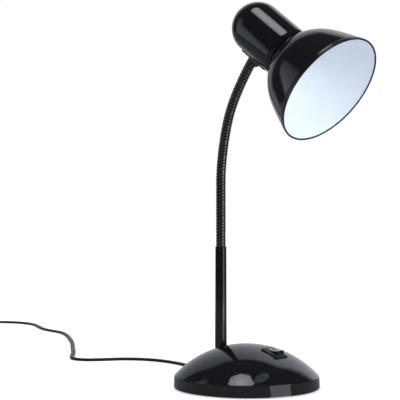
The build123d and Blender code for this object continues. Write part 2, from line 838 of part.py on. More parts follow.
# Switch housing: bezel on the dome's flat seat, body below, and a well for the rocker
well_length = 2 * (sqrt(rocker_half**2 + rocker_rise**2) + play)
well_width = rocker_width + 2 * play
with BuildPart() as switch_housing:
    with BuildSketch(switch_plane.offset(-bezel_sink)):
        RectangleRounded(bezel_length, bezel_width, bezel_corner)
    extrude(amount=bezel_height)
    fillet(switch_housing.faces().sort_by(Axis(switch_plane.origin, switch_plane.z_dir))[-1].edges(), bezel_corner / 3)
    with BuildSketch(switch_plane.offset(-bezel_sink)):
        Rectangle(switch_body_length, switch_body_width)
    extrude(amount=-switch_body_depth)
    with BuildSketch(switch_plane.offset(bezel_height)):
        Rectangle(well_length, well_width)
    extrude(amount=-bezel_height - well_depth, mode=Mode.SUBTRACT)
    with BuildSketch(Plane(switch_plane.offset(-pivot_depth).origin, switch_plane.x_dir, (0, 1, 0))):
        Circle(pivot_radius + slip)
    extrude(amount=rocker_width / 2 + pivot_length + slip, both=True, mode=Mode.SUBTRACT)
switch_housing.part.label = "switch_housing"
export_step(switch_housing.part, "parts/switch_housing.step")

# Rocker: two faces that dip to the middle, ends turned about the pivot, at rest with its outer end up
rest_turn = radians(rocker_tilt)
rocker_x = switch_plane.x_dir * cos(rest_turn) + switch_plane.z_dir * sin(rest_turn)
rocker_side = Plane(switch_plane.offset(-pivot_depth).origin, rocker_x, (0, -1, 0))
with BuildPart() as rocker:
    with BuildSketch(rocker_side):
        with BuildLine():
            end_radius = sqrt(rocker_half**2 + rocker_rise**2)
            low = sqrt(end_radius**2 - rocker_under**2)
            Polyline((-rocker_half, rocker_rise), (0, rocker_dip), (rocker_half, rocker_rise))
            ThreePointArc((rocker_half, rocker_rise), (end_radius, 0), (low, -rocker_under))
            Line((low, -rocker_under), (-low, -rocker_under))
            ThreePointArc((-low, -rocker_under), (-end_radius, 0), (-rocker_half, rocker_rise))
        make_face()
    extrude(amount=rocker_width / 2, both=True)
    with BuildSketch(rocker_side):
        Circle(pivot_radius)
    extrude(amount=rocker_width / 2 + pivot_length, both=True)
rocker.part.label = "rocker"
export_step(rocker.part, "parts/rocker.step")

with BuildPart() as switch_blades:
    with BuildSketch(switch_plane.offset(-bezel_sink - switch_body_depth)):
        with Locations((-blade_spacing / 2, 0), (blade_spacing / 2, 0)):
            Rectangle(blade_sheet, blade_width)
    extrude(amount=-blade_length)
switch_blades.part.label = "switch_blades"
export_step(switch_blades.part, "parts/switch_blades.step")


def cord_section(plane):
    """The flat cord's section, with bevelled edges."""
    with BuildSketch(plane) as section:
        Rectangle(cord_width, cord_thickness)
        chamfer(section.vertices(), cord_bevel)
    return section.sketch


# Cord gland: an inside flange, and a sleeve that tapers out of the rim
with BuildPart() as cord_gland:
    gland_seat = inner_radius - play
    with BuildSketch(cord_plane(gland_seat - gland_flange)):
        SlotOverall(gland_flange_width, gland_flange_height)
    extrude(amount=gland_flange)
    with BuildSketch(cord_plane(gland_seat)):
        SlotOverall(gland_width, gland_height)
    with BuildSketch(cord_plane(gland_end)):
        SlotOverall(gland_width - gland_taper, gland_height - gland_taper)
    loft()
    with BuildSketch(cord_plane(gland_seat - gland_flange)):
        Rectangle(cord_width + 2 * slip, cord_thickness + 2 * slip)
    extrude(amount=gland_length + base_radius, mode=Mode.SUBTRACT)
cord_gland.part.label = "cord_gland"
export_step(cord_gland.part, "parts/cord_gland.step")

# The cord inside the base, straight from the gland's mouth through the grip
with BuildPart() as cord_inner:
    extrude(cord_section(cord_plane(sheath_end)), amount=gland_end - sheath_end)
cord_inner.part.label = "cord_inner"
export_step(cord_inner.part, "parts/cord_inner.step")

# Cord grip: a saddle on the plate and a clamp bar over the cord
grip_spot = cord_out * grip_radius
grip_top = cord_height + cord_thickness / 2 + slip
grip_places = [(0, clamp_screw_offset), (0, -clamp_screw_offset)]


def grip_plane(height):
    return Plane(origin=grip_spot + Vector(0, 0, height), x_dir=cord_out, z_dir=(0, 0, 1))


with BuildPart() as cord_saddle:
    with BuildSketch(grip_plane(plate_top)):
        Rectangle(grip_length, grip_width)
    extrude(amount=grip_top - plate_top)
    with BuildSketch(cord_plane(grip_radius - grip_length)):
        Rectangle(cord_width + 2 * slip, cord_thickness + 2 * slip)
    extrude(amount=2 * grip_length, mode=Mode.SUBTRACT)
    with BuildSketch(grip_plane(grip_top)):
        with Locations(*grip_places):
            Circle(clamp_screw_radius + slip)
    extrude(amount=-clamp_screw_length + clamp_height - play, mode=Mode.SUBTRACT)
cord_saddle.part.label = "cord_saddle"
export_step(cord_saddle.part, "parts/cord_saddle.step")

with BuildPart() as cord_clamp:
    with BuildSketch(grip_plane(grip_top)):
        Rectangle(grip_length, grip_width)
    extrude(amount=clamp_height)
    fillet(cord_clamp.faces().sort_by(Axis.Z)[-1].edges(), clamp_height / 3)
    with BuildSketch(grip_plane(grip_top)):
        with Locations(*grip_places):
            Circle(clamp_screw_radius + slip)
    extrude(amount=clamp_height, mode=Mode.SUBTRACT)
cord_clamp.part.label = "cord_clamp"
export_step(cord_clamp.part, "parts/cord_clamp.step")

with BuildPart() as clamp_screws:
    with BuildSketch(grip_plane(grip_top + clamp_height)):
        with Locations(*grip_places):
            Circle(clamp_screw_head)
    extrude(amount=clamp_screw_head / 2)
    with BuildSketch(grip_plane(grip_top + clamp_height)):
        with Locations(*grip_places):
            Circle(clamp_screw_radius)
    extrude(amount=-clamp_screw_length)
clamp_screws.part.label = "clamp_screws"
export_step(clamp_screws.part, "parts/clamp_screws.step")

def inside(radius, side, height):
    """A point over the plate, measured along the cord's line and to its side."""
    return cord_out * radius + cord_side * side + Vector(0, 0, height)


# Crimp cap that joins the two neutral wires, lying on the plate beside the cord's line
with BuildPart() as crimp_cap:
    crimp_mouth = Plane(inside(crimp_start, crimp_side, cord_height), x_dir=cord_side, z_dir=cord_out)
    with BuildSketch(crimp_mouth):
        Circle(crimp_radius)
        Circle(core_offset + wire_radius + play, mode=Mode.SUBTRACT)
    extrude(amount=-crimp_length)
    with BuildSketch(crimp_mouth.offset(-crimp_length)):
        Circle(crimp_radius)
    extrude(amount=-crimp_radius / 2, taper=30)
crimp_cap.part.label = "crimp_cap"
export_step(crimp_cap.part, "parts/crimp_cap.step")

# Neutral wires: from the cord and from the neck's cable into the crimp cap
crimp_depth = crimp_start - crimp_radius
with BuildPart() as neutral_wires:
    with BuildSketch(cord_plane(sheath_end)):
        with Locations((core_offset, 0)):
            Circle(wire_radius)
    extrude(amount=crimp_depth - sheath_end)
    wire(
        [
            (-stem_offset, core_offset, cable_low - play),
            (-stem_offset, core_offset, cord_height + 2),
            (-stem_offset + 4, 6.5, cord_height),
            inside(crimp_start + 5, crimp_side + core_offset, cord_height),
            inside(crimp_depth, crimp_side + core_offset, cord_height),
        ]
    )
neutral_wires.part.label = "neutral_wires"
export_step(neutral_wires.part, "parts/neutral_wires.step")


def blade_point(side, along, across_blade):
    """A point beside a switch blade's lower end, in the lamp's frame."""
    local = Vector(side * blade_spacing / 2, across_blade, along - bezel_sink - switch_body_depth - blade_length)
    return switch_plane.from_local_coords(local)


# Live wires: from the cord to one switch blade, and from the other blade to the neck's cable
wire_top = weight_top + wire_lift
first_lead = blade_point(-1, 2 * wire_radius, blade_width / 2 + switch_lead)
with BuildPart() as live_wires:
    wire(
        [
            inside(sheath_end - play, -core_offset, cord_height),
            inside(sheath_end - 2 * wire_bend, -core_offset, cord_height + wire_radius),
            inside(sheath_end - 5 * wire_bend, -core_offset - wire_bend, wire_top - 2 * wire_radius),
            (wire_bay_front - 2 * wire_bend, wire_bay_left - wire_bend, wire_top),
            (first_lead.X - switch_lead, first_lead.Y + switch_lead, wire_top),
            first_lead,
            blade_point(-1, 2 * wire_radius, blade_width / 2 + play),
        ]
    )
    wire(
        [
            (-stem_offset, -core_offset, cable_low - play),
            (-stem_offset, -core_offset, cord_height + 2.5 * wire_radius),
            (-stem_offset + washer_radius + 3 * wire_radius, -washer_radius + 2 * wire_radius, cord_height + wire_radius),
            (wire_bay_front - 2.5 * wire_bend, wire_bend - wire_bay_right, weight_top + wire_radius),
            (wire_bay_front + wire_bend, wire_bend / 2 - wire_bay_right, wire_top),
            blade_point(1, 3 * wire_radius, -blade_width / 2 - switch_lead),
            blade_point(1, 3 * wire_radius, -blade_width / 2 - play),
        ]
    )
live_wires.part.label = "live_wires"
export_step(live_wires.part, "parts/live_wires.step")

# Mains cord, from the gland's mouth along the table to the coil
route = [cord_plane(gland_end).origin, cord_plane(gland_end + gland_lead).origin]
route += [Vector(*point) for point in cord_route]
runs = [end - start for start, end in zip(route, route[1:])]
cord_radii = bend_radii(route)
print("cord runs", [round(run.length, 1) for run in runs])
print("cord radii", [round(radius, 1) for radius in cord_radii])

with BuildPart() as cord:
    with BuildLine() as cord_line:
        FilletPolyline(*route, radius=cord_radii)
    section = cord_section(cord_plane(gland_end))
    above = cord_line.wire().moved(Location((0, 0, base_radius)))
    sweep(section, path=cord_line.wire(), binormal=above)
print("cord length", round(cord_line.wire().length, 1))
print("cord volume", round(cord.part.volume), "section by length", round(section.area * cord_line.wire().length))
cord.part.label = "cord"
export_step(cord.part, "parts/cord.step")

# Coil: half circles that spiral in on the lower layer, climb, and spiral out on the upper one
heading = Vector(runs[-1].X, runs[-1].Y, 0).normalized()
sideways = Vector(-heading.Y, heading.X, 0)
coil_pitch = cord_width + coil_gap
layer_step = plug_thickness / 2 - cord_thickness / 2 - coil_lift
turns_in = coil_half_turns // 2
radii_in = [coil_radius - (0.25 + 0.5 * turn) * coil_pitch for turn in range(turns_in)]
radii_out = [radii_in[-1] + 0.5 * (turn + 1) * coil_pitch for turn in range(coil_half_turns - turns_in)]
rises = [coil_lift] + [0.0] * (coil_half_turns - 1)
rises[turns_in - 1] += layer_step
coil_start = route[-1]
spot = coil_start + heading * cord_width
coil_points = [spot]
with BuildPart() as cord_coil:
    with BuildLine() as coil_line:
        Line(coil_start, spot)
        for turn, (radius, rise) in enumerate(zip(radii_in + radii_out, rises)):
            way = 1 if turn % 2 == 0 else -1
            target = spot + sideways * (2 * radius * way) + Vector(0, 0, rise)
            arc = ThreePointArc(spot, (spot + target) / 2 + heading * (way * radius), target)
            coil_points += [arc @ (step / 24) for step in range(1, 25)]
            spot = target
        tail = Line(spot, spot + heading * coil_tail)
    section = cord_section(Plane(origin=coil_start, x_dir=sideways, z_dir=heading))
    above = coil_line.wire().moved(Location((0, 0, base_radius)))
    sweep(section, path=coil_line.wire(), binormal=above)
coil_length = coil_line.wire().length
print("coil length", round(coil_length, 1), "cord in all", round(coil_length + cord_line.wire().length, 1))
print("coil volume", round(cord_coil.part.volume), "section by length", round(section.area * coil_length))
cord_coil.part.label = "cord_coil"
export_step(cord_coil.part, "parts/cord_coil.step")

# The coil's least gap to itself: beside its own layer by width, over another layer by thickness
least_gap = cord_width
for index, point in enumerate(coil_points):
    for other in coil_points[index + 24 :]:
        apart = other - point
        level = sqrt(apart.X**2 + apart.Y**2)
        least_gap = min(least_gap, max(level - cord_width, abs(apart.Z) - cord_thickness))
print("coil's least gap to itself", round(least_gap, 2))

# Tie: a flat band round the coil's turns, on the side away from the tail
tie_low = coil_lift - tie_gap
tie_high = plug_thickness / 2 + cord_thickness / 2 + tie_gap
tie_reach = (radii_out[0] + radii_out[-1]) / 2
tie_span = radii_out[-1] - radii_out[0] + cord_width + 2 * (tie_gap + coil_gap)
tie_centre = coil_start + heading * (cord_width - tie_reach) + sideways * (coil_radius - coil_pitch / 4)
tie_centre = Vector(tie_centre.X, tie_centre.Y, (tie_low + tie_high) / 2)
with BuildPart() as cord_tie:
    with BuildSketch(Plane(origin=tie_centre, x_dir=heading, z_dir=sideways * -1)):
        RectangleRounded(tie_span + 2 * tie_sheet, tie_high - tie_low + 2 * tie_sheet, 2 * tie_sheet)
        RectangleRounded(tie_span, tie_high - tie_low, tie_sheet, mode=Mode.SUBTRACT)
    extrude(amount=tie_width / 2, both=True)
cord_tie.part.label = "cord_tie"
export_step(cord_tie.part, "parts/cord_tie.step")


def plug_plane(reach):
    """A plane square to the plug, reach millimetres from where the cord enters it."""
    return Plane(origin=tail @ 1 + heading * (slip + reach), x_dir=sideways, z_dir=heading)


# Plug: tapered sleeve, widening neck and a straight face that carries two pins
with BuildPart() as plug_body:
    with BuildSketch(plug_plane(0)):
        RectangleRounded(cord_width + 2, cord_thickness + 2, 2)
    with BuildSketch(plug_plane(plug_sleeve)):
        RectangleRounded(2 * cord_width, 2.6 * cord_thickness, 3)
    loft()
    with BuildSketch(plug_plane(plug_sleeve)):
        RectangleRounded(2.8 * cord_width, 3.2 * cord_thickness, 3)
    with BuildSketch(plug_plane(plug_sleeve + plug_neck)):
        RectangleRounded(plug_width, plug_thickness, 5)
    loft()
    with BuildSketch(plug_plane(plug_sleeve + plug_neck)):
        RectangleRounded(plug_width, plug_thickness, 5)
    extrude(amount=plug_face)
plug_body.part.label = "plug_body"
export_step(plug_body.part, "parts/plug_body.step")

with BuildPart() as plug_pins:
    with BuildSketch(plug_plane(plug_sleeve + plug_neck + plug_face)):
        with Locations((pin_spacing / 2, 0), (-pin_spacing / 2, 0)):
            Circle(pin_radius)
    extrude(amount=pin_length)
    tips = plug_pins.faces().filter_by(GeomType.PLANE).sort_by(Axis(tail @ 1, heading))[-2:]
    fillet(tips.edges(), pin_tip)
plug_pins.part.label = "plug_pins"
export_step(plug_pins.part, "parts/plug_pins.step")
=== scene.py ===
# %% [markdown]
# # A gooseneck lamp in gloss black
# A table lamp with a weighted dome base, a rocker switch, a ribbed neck and a bell shade that is white
# inside. The CAD model gives every size. Here the surfaces that people see are made again with finer
# curves, and each one gets the finish of the material that the real piece is made of. The lamp's sizes are
# in millimetres, as in the CAD model, until a matrix turns them into Blender's metres.

# %% Load the frame
import bpy
import bmesh
from math import acos, asin, atan2, copysign, cos, degrees, exp, pi, radians, sin, sqrt, tan
from mathutils import Matrix, Vector


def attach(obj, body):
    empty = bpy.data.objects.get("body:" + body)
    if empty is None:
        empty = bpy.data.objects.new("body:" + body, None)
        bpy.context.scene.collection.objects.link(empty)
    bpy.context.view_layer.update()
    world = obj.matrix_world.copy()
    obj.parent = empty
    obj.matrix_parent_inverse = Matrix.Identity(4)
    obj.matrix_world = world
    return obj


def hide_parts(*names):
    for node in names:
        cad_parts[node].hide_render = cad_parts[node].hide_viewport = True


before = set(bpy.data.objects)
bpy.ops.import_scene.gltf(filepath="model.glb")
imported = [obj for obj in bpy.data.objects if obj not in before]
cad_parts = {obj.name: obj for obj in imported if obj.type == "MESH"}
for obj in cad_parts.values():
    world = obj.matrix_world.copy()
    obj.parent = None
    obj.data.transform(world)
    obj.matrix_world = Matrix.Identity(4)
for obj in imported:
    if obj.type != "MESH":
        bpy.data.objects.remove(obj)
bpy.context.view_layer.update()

# %% [markdown]
# ## The camera
# The photograph was taken with a long lens, held level at about half the lamp's height: upright lines stay
# upright, and the top of the dome shows as a thin ellipse. A camera could be aimed at a target with a
# constraint. A level one needs only a place and a heading, so those are set directly.

# %% Camera
camera_place, camera_heading = (0.7765, -0.9806, 0.1869), 40.5
focal_length, sensor_width = 113.13, 36

lens = bpy.data.cameras.new("photo_camera")
lens.lens = focal_length
lens.sensor_width = sensor_width
camera = bpy.data.objects.new("photo_camera", lens)
camera.location = camera_place
camera.rotation_euler = (radians(90), 0, radians(camera_heading))
bpy.context.collection.objects.link(camera)
bpy.context.scene.camera = camera
bpy.context.scene.view_settings.view_transform = "Standard"
print("camera", [round(x, 3) for x in camera.location])

# %% [markdown]
# ## The mains cord
# A flat two-core cord leaves the back of the base, lies on the table in loose curves and ends in a coil
# with its plug. A section could be swept along straight runs and arcs, as the CAD model does it. Here the
# cord is one NURBS curve instead: the points pull the line towards them, so it has no corner anywhere. The
# coil winds in on the table, climbs one layer and winds out again.

# %% The cord's route on the table
cord_points = [
    (-84.44, 48.75, 7.05), (-97.43, 56.25, 7.05), (-122, 69.5, 1.7), (-150, 81.5, 1.7), (-181, 91, 1.7),
    (-212, 92.5, 1.7), (-241, 80, 1.7), (-257, 56, 1.7), (-271, 39.5, 1.7), (-289, 38, 1.7), (-306, 53, 1.7),
    (-331, 80, 1.7), (-366, 112, 1.7), (-405, 149, 1.7), (-447, 184, 1.7), (-484, 213, 1.7), (-513, 231, 1.7),
    (-538, 237, 1.7), (-563, 243.5, 1.7), (-594, 262, 1.7), (-626, 282, 1.7), (-655, 288, 1.7),
    (-684, 281, 1.7), (-708, 262, 1.7),
]
cord_points = [Vector(point) for point in cord_points]
print("route with", len(cord_points), "points")

# %% The coil
cord_width = 5.4
coil_start = Vector((-727.8, 245.1, 1.7))
heading = (coil_start - cord_points[-1]).normalized()
sideways = Vector((-heading.y, heading.x, 0))
half_turns, innermost = 10, 4
inner_radius, coil_pitch = 22.725, 5.9
climbs = {0: 1.25, innermost: 3.9}
points_each = 7
plug_mouth, plug_depth = 9.0, 23.0

spot = coil_start + heading * cord_width
for turn in range(half_turns):
    radius = inner_radius + abs(turn - innermost) * coil_pitch / 2
    rise = climbs.get(turn, 0)
    way = 1 if turn % 2 == 0 else -1
    middle = spot + sideways * way * radius
    reach = radius / cos(pi / (2 * points_each))
    for step in range(points_each):
        angle = (step + 0.5) * pi / points_each
        point = middle - sideways * way * reach * cos(angle) + heading * way * reach * sin(angle)
        cord_points.append(point + Vector((0, 0, rise * angle / pi)))
    spot = spot + sideways * way * 2 * radius + Vector((0, 0, rise))
cord_points += [spot + heading * plug_mouth, spot + heading * plug_depth]
print("coil of", half_turns // 2, "turns; the whole cord has", len(cord_points), "points")

# %% The cord's section
cord_thickness = 3.4
half_width, half_thickness = cord_width / 2, cord_thickness / 2
waist_depth, waist_width, waist_power = 0.16, 0.75, 1.5
end_power, face_power = 0.75, 0.62
section_points = 32


def squared(value, power):
    """A sine or cosine drawn outward, so that an oval turns into a rounded block."""
    return copysign(abs(value) ** power, value)


flat = bpy.data.curves.new("cord_profile", "CURVE")
flat.dimensions = "2D"
ring = flat.splines.new("POLY")
ring.points.add(section_points - 1)
for step, place in enumerate(ring.points):
    angle = 2 * pi * step / section_points
    x = half_width * squared(cos(angle), end_power)
    y = half_thickness * squared(sin(angle), face_power)
    waist = 1 - waist_depth * max(0, 1 - abs(x) / waist_width) ** waist_power
    place.co = (x / half_width, y * waist / half_width, 0, 1)
ring.use_cyclic_u = True
profile = bpy.data.objects.new("cord_profile", flat)
print("section with", len(ring.points), "points")

# %% The cord as one curve
line = bpy.data.curves.new("mains_cord", "CURVE")
line.dimensions = "3D"
line.twist_mode = "Z_UP"
spline = line.splines.new("NURBS")
spline.points.add(len(cord_points) - 1)
for place, point in zip(spline.points, cord_points):
    place.co = (*(point * 0.001), 1)
    place.radius = half_width * 0.001
spline.order_u = 3
spline.use_endpoint_u = True
line.resolution_u = 8
line.bevel_mode = "OBJECT"
line.bevel_object = profile
line.use_fill_caps = True
mains_cord = bpy.data.objects.new("mains_cord", line)
bpy.context.collection.objects.link(mains_cord)
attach(mains_cord, "base")
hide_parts("cord", "cord_coil")
print("cord", round(spline.calc_length(), 3), "m")

# %% [markdown]
# ## Effects that several finishes share
# Sprayed or moulded gloss is never quite flat: it has a faint ripple, and hands and cloths leave a haze on
# it. Dust settles where a surface faces up, and moulded or plated satin has a fine grain. Each effect could
# be built again in every material. As a node group it is built once, gives out masks and heights, and each
# material places it with its own values.

# %% A node group
def group(name, inputs, outputs):
    """A node group with number sockets: its tree, and the nodes where values come in and leave."""
    tree = bpy.data.node_groups.new(name, "ShaderNodeTree")
    for label, value in inputs:
        socket = tree.interface.new_socket(label, in_out="INPUT", socket_type="NodeSocketFloat")
        socket.default_value = value
    for label in outputs:
        tree.interface.new_socket(label, in_out="OUTPUT", socket_type="NodeSocketFloat")
    return tree, tree.nodes.new("NodeGroupInput"), tree.nodes.new("NodeGroupOutput")


def add(tree, kind, **values):
    """A node with its settings, and numbers for its input sockets."""
    node = tree.nodes.new(kind)
    for key, value in values.items():
        if hasattr(node, key):
            setattr(node, key, value)
        else:
            node.inputs[key.replace("_", " ")].default_value = value
    return node


def feed(tree, value, socket):
    """Give a socket a number, a colour or another node's output."""
    if isinstance(value, bpy.types.NodeSocket):
        tree.links.new(value, socket)
    else:
        socket.default_value = (*value, 1) if isinstance(value, tuple) else value


ripple, entry, leave = group("gloss_ripple", [("Size", 260.0)], ["Height", "Haze"])
print(ripple.name, "with", [socket.name for socket in ripple.interface.items_tree])


# %% Gloss ripple
def noise(tree, where, scale, detail=2.0, rough=0.5):
    """Soft random patches; the scale is a number or a socket."""
    node = add(tree, "ShaderNodeTexNoise", Detail=detail, Roughness=rough)
    tree.links.new(where, node.inputs["Vector"])
    feed(tree, scale, node.inputs["Scale"])
    return node.outputs["Fac"]


def remap(tree, value, low, high, new_low, new_high):
    """A value carried from one range to another."""
    node = add(tree, "ShaderNodeMapRange", From_Min=low, From_Max=high, To_Min=new_low, To_Max=new_high)
    tree.links.new(value, node.inputs["Value"])
    return node.outputs["Result"]


def sums(tree, kind, a, b):
    """One step of arithmetic on two numbers or sockets."""
    node = add(tree, "ShaderNodeMath", operation=kind)
    feed(tree, a, node.inputs[0])
    feed(tree, b, node.inputs[1])
    return node.outputs[0]


broad_scale, smear_scale, broad_share = 34, 90, 0.5
where = ripple.nodes.new("ShaderNodeTexCoord").outputs["Object"]
fine = noise(ripple, where, entry.outputs["Size"], detail=1.5)
broad = noise(ripple, where, broad_scale, detail=3.0)
smear = noise(ripple, where, smear_scale, detail=4.0, rough=0.6)
slow = sums(ripple, "MULTIPLY", broad, broad_share)
ripple.links.new(sums(ripple, "ADD", fine, slow), leave.inputs["Height"])
patches = remap(ripple, broad, 0.35, 0.7, 0, 1)
wipes = remap(ripple, smear, 0.3, 0.7, 0.3, 1)
ripple.links.new(sums(ripple, "MULTIPLY", patches, wipes), leave.inputs["Haze"])
print(ripple.name, len(ripple.nodes), "nodes")

# %% Settled dust
speck_scale = 420
dust, entry, leave = group("settled_dust", [("Amount", 0.5)], ["Mask"])
normal = add(dust, "ShaderNodeSeparateXYZ")
dust.links.new(dust.nodes.new("ShaderNodeNewGeometry").outputs["Normal"], normal.inputs[0])
where = dust.nodes.new("ShaderNodeTexCoord").outputs["Object"]
speck = noise(dust, where, speck_scale, detail=6.0, rough=0.7)
facing_up = remap(dust, normal.outputs["Z"], 0.45, 1.0, 0.0, 1.0)
grains = remap(dust, speck, 0.52, 0.75, 0.0, 1.0)
lying = sums(dust, "MULTIPLY", facing_up, grains)
dust.links.new(sums(dust, "MULTIPLY", entry.outputs["Amount"], lying), leave.inputs["Mask"])
print(dust.name, len(dust.nodes), "nodes")

# %% Moulded grain
cloud_scale = 60
grain, entry, leave = group("moulded_grain", [("Size", 1400.0)], ["Height", "Shade"])
where = grain.nodes.new("ShaderNodeTexCoord").outputs["Object"]
pits = noise(grain, where, entry.outputs["Size"], detail=2.0, rough=0.6)
cloud = noise(grain, where, cloud_scale, detail=3.0)
grain.links.new(pits, leave.inputs["Height"])
grain.links.new(remap(grain, cloud, 0.3, 0.7, 0, 1), leave.inputs["Shade"])
print(grain.name, len(grain.nodes), "nodes")

# %% [markdown]
# ## The finishes
# Gloss black is a very dark colour under a clear, smooth skin, so almost all that shows is reflection. The
# white inside of the shade is a satin spray, and cord and rubber are satin black with a fine grain. Flat
# values on one shader would do from far away. Close up, a real finish is a little uneven, so two functions
# build every material: one for gloss with the ripple and dust, and one for satin with the grain.

# %% Material helpers
def shader(name):
    """A new material with its node tree and its surface shader."""
    material = bpy.data.materials.new(name)
    material.use_nodes = True
    tree = material.node_tree
    return material, tree, tree.nodes["Principled BSDF"]


def blend_colours(tree, mask, a, b):
    """A colour that goes from a to b with the mask; a and b are colours or sockets."""
    node = add(tree, "ShaderNodeMix", data_type="RGBA")
    tree.links.new(mask, node.inputs["Factor"])
    feed(tree, a, node.inputs["A"])
    feed(tree, b, node.inputs["B"])
    return node.outputs["Result"]


def bump(tree, height, strength, distance):
    """A normal that follows a height."""
    node = add(tree, "ShaderNodeBump", Strength=strength, Distance=distance)
    tree.links.new(height, node.inputs["Height"])
    return node.outputs["Normal"]


def use(tree, shared, **values):
    """A shared effect, placed in a material with its own values."""
    node = add(tree, "ShaderNodeGroup", node_tree=shared)
    for key, value in values.items():
        node.inputs[key].default_value = value
    return node


print("materials that came with the frame", len(bpy.data.materials))

# %% Gloss finishes
jet_black, dust_grey = (0.005, 0.005, 0.006), (0.32, 0.31, 0.3)
ripple_height = 0.0004


def gloss(name, rough, size, depth, dusty, mirror=0.5):
    """Gloss black paint or plastic: a ripple, a haze in the roughness and a trace of dust."""
    material, tree, surface = shader(name)
    skin = use(tree, ripple, Size=size)
    settled = use(tree, dust, Amount=dusty)
    colour = blend_colours(tree, settled.outputs["Mask"], jet_black, dust_grey)
    tree.links.new(colour, surface.inputs["Base Color"])
    tree.links.new(remap(tree, skin.outputs["Haze"], 0, 1, *rough), surface.inputs["Roughness"])
    tree.links.new(bump(tree, skin.outputs["Height"], depth, ripple_height), surface.inputs["Normal"])
    surface.inputs["Specular IOR Level"].default_value = mirror
    return material


black_plastic = gloss("gloss_black_plastic", rough=(0.03, 0.08), size=200, depth=0.010, dusty=0.03)
black_paint = gloss("gloss_black_paint", rough=(0.06, 0.13), size=420, depth=0.02, dusty=0.02)
black_neck = gloss("black_neck_coat", rough=(0.07, 0.13), size=500, depth=0.02, dusty=0.02, mirror=0.9)
print("gloss finishes", [black_plastic.name, black_paint.name, black_neck.name])

# %% Satin finishes
grain_height = 0.0003


def satin(name, colour, pale, rough, size, depth, metal=0.0):
    """A moulded, sprayed or plated satin surface with a fine grain and a slightly uneven colour."""
    material, tree, surface = shader(name)
    skin = use(tree, grain, Size=size)
    tree.links.new(blend_colours(tree, skin.outputs["Shade"], colour, pale), surface.inputs["Base Color"])
    tree.links.new(remap(tree, skin.outputs["Shade"], 0, 1, *rough), surface.inputs["Roughness"])
    tree.links.new(bump(tree, skin.outputs["Height"], depth, grain_height), surface.inputs["Normal"])
    surface.inputs["Metallic"].default_value = metal
    return material


switch_plastic = satin("switch_black_plastic", (0.006, 0.006, 0.007), (0.010, 0.010, 0.011),
                       rough=(0.3, 0.42), size=2600, depth=0.12)
rocker_plastic = satin("rocker_black_plastic", (0.008, 0.008, 0.009), (0.011, 0.011, 0.012),
                       rough=(0.12, 0.2), size=2200, depth=0.05)
mark_white = satin("mark_white_print", (0.66, 0.66, 0.65), (0.72, 0.72, 0.71),
                   rough=(0.4, 0.5), size=2400, depth=0.04)
inside_white = satin("inside_white_spray", (0.775, 0.83, 0.89), (0.81, 0.86, 0.92),
                     rough=(0.42, 0.55), size=1500, depth=0.05)
cord_rubber = satin("cord_black_pvc", (0.006, 0.006, 0.007), (0.012, 0.012, 0.013),
                    rough=(0.32, 0.45), size=1800, depth=0.10)
foam_black = satin("foam_black", (0.012, 0.012, 0.013), (0.022, 0.022, 0.022),
                   rough=(0.85, 0.95), size=900, depth=0.6)
plate_black = satin("plate_black_coat", (0.010, 0.010, 0.011), (0.016, 0.016, 0.017),
                    rough=(0.4, 0.55), size=1600, depth=0.15)
iron_grey = satin("cast_iron", (0.055, 0.053, 0.052), (0.09, 0.087, 0.085),
                  rough=(0.6, 0.8), size=500, depth=0.5)
zinc = satin("zinc_plate", (0.50, 0.51, 0.53), (0.60, 0.60, 0.60),
             rough=(0.24, 0.4), size=2400, depth=0.06, metal=1.0)
brass = satin("brass_sheet", (0.66, 0.50, 0.22), (0.74, 0.58, 0.28),
              rough=(0.2, 0.36), size=2000, depth=0.06, metal=1.0)
nickel = satin("nickel_plate", (0.62, 0.60, 0.56), (0.70, 0.68, 0.64),
               rough=(0.14, 0.26), size=2400, depth=0.04, metal=1.0)
holder_white = satin("holder_white_resin", (0.74, 0.73, 0.69), (0.80, 0.79, 0.75),
                     rough=(0.22, 0.34), size=1200, depth=0.05)
print("finishes", len(bpy.data.materials))

# %% [markdown]
# ## Pieces that keep their CAD shape
# Screws, nuts, wires, the lampholder, the weight and the plug are small or sit out of sight. They could be
# modelled again like the shell, but their CAD meshes are true already, so they only get the finish of what
# they are made of: zinc for screws, brass for contacts, cast iron for the weight.

# %% Dress the CAD pieces
finishes = {
    switch_plastic: ["cord_saddle", "cord_clamp"],
    foam_black: ["foam_pad"],
    plate_black: ["base_plate"],
    iron_grey: ["base_weight"],
    zinc: ["plate_screws", "ballast_screws", "stem_washer", "stem_nut", "neck_nipple", "nipple_washer",
           "nipple_nut", "holder_screws", "terminal_screws", "clamp_screws"],
    brass: ["centre_contact", "terminal_blocks", "switch_blades", "screw_shell"],
    nickel: ["plug_pins"],
    holder_white: ["lampholder_body", "shade_ring", "crimp_cap"],
    cord_rubber: ["cord_gland", "cord_inner", "cord_tie", "plug_body", "head_wires", "neutral_wires",
                  "live_wires"],
}
for material, names in finishes.items():
    for name in names:
        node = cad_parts[name]
        node.data.materials.clear()
        node.data.materials.append(material)
mains_cord.data.materials.append(cord_rubber)
print("dressed", sum(len(names) for names in finishes.values()), "CAD nodes")

# %% [markdown]
# ## The dome
# The base is moulded in one piece: a shallow dome with a wall of about two millimetres and an upright rim.
# A stretched sphere would give the top but not the rim. So the dome's cut edge is drawn as a line, its
# corners are rounded, and the line is turned round the lamp's axis with many points, because gloss black
# shows every facet. The hole for the switch is cut later, so the dome keeps its true curve up to the bezel.

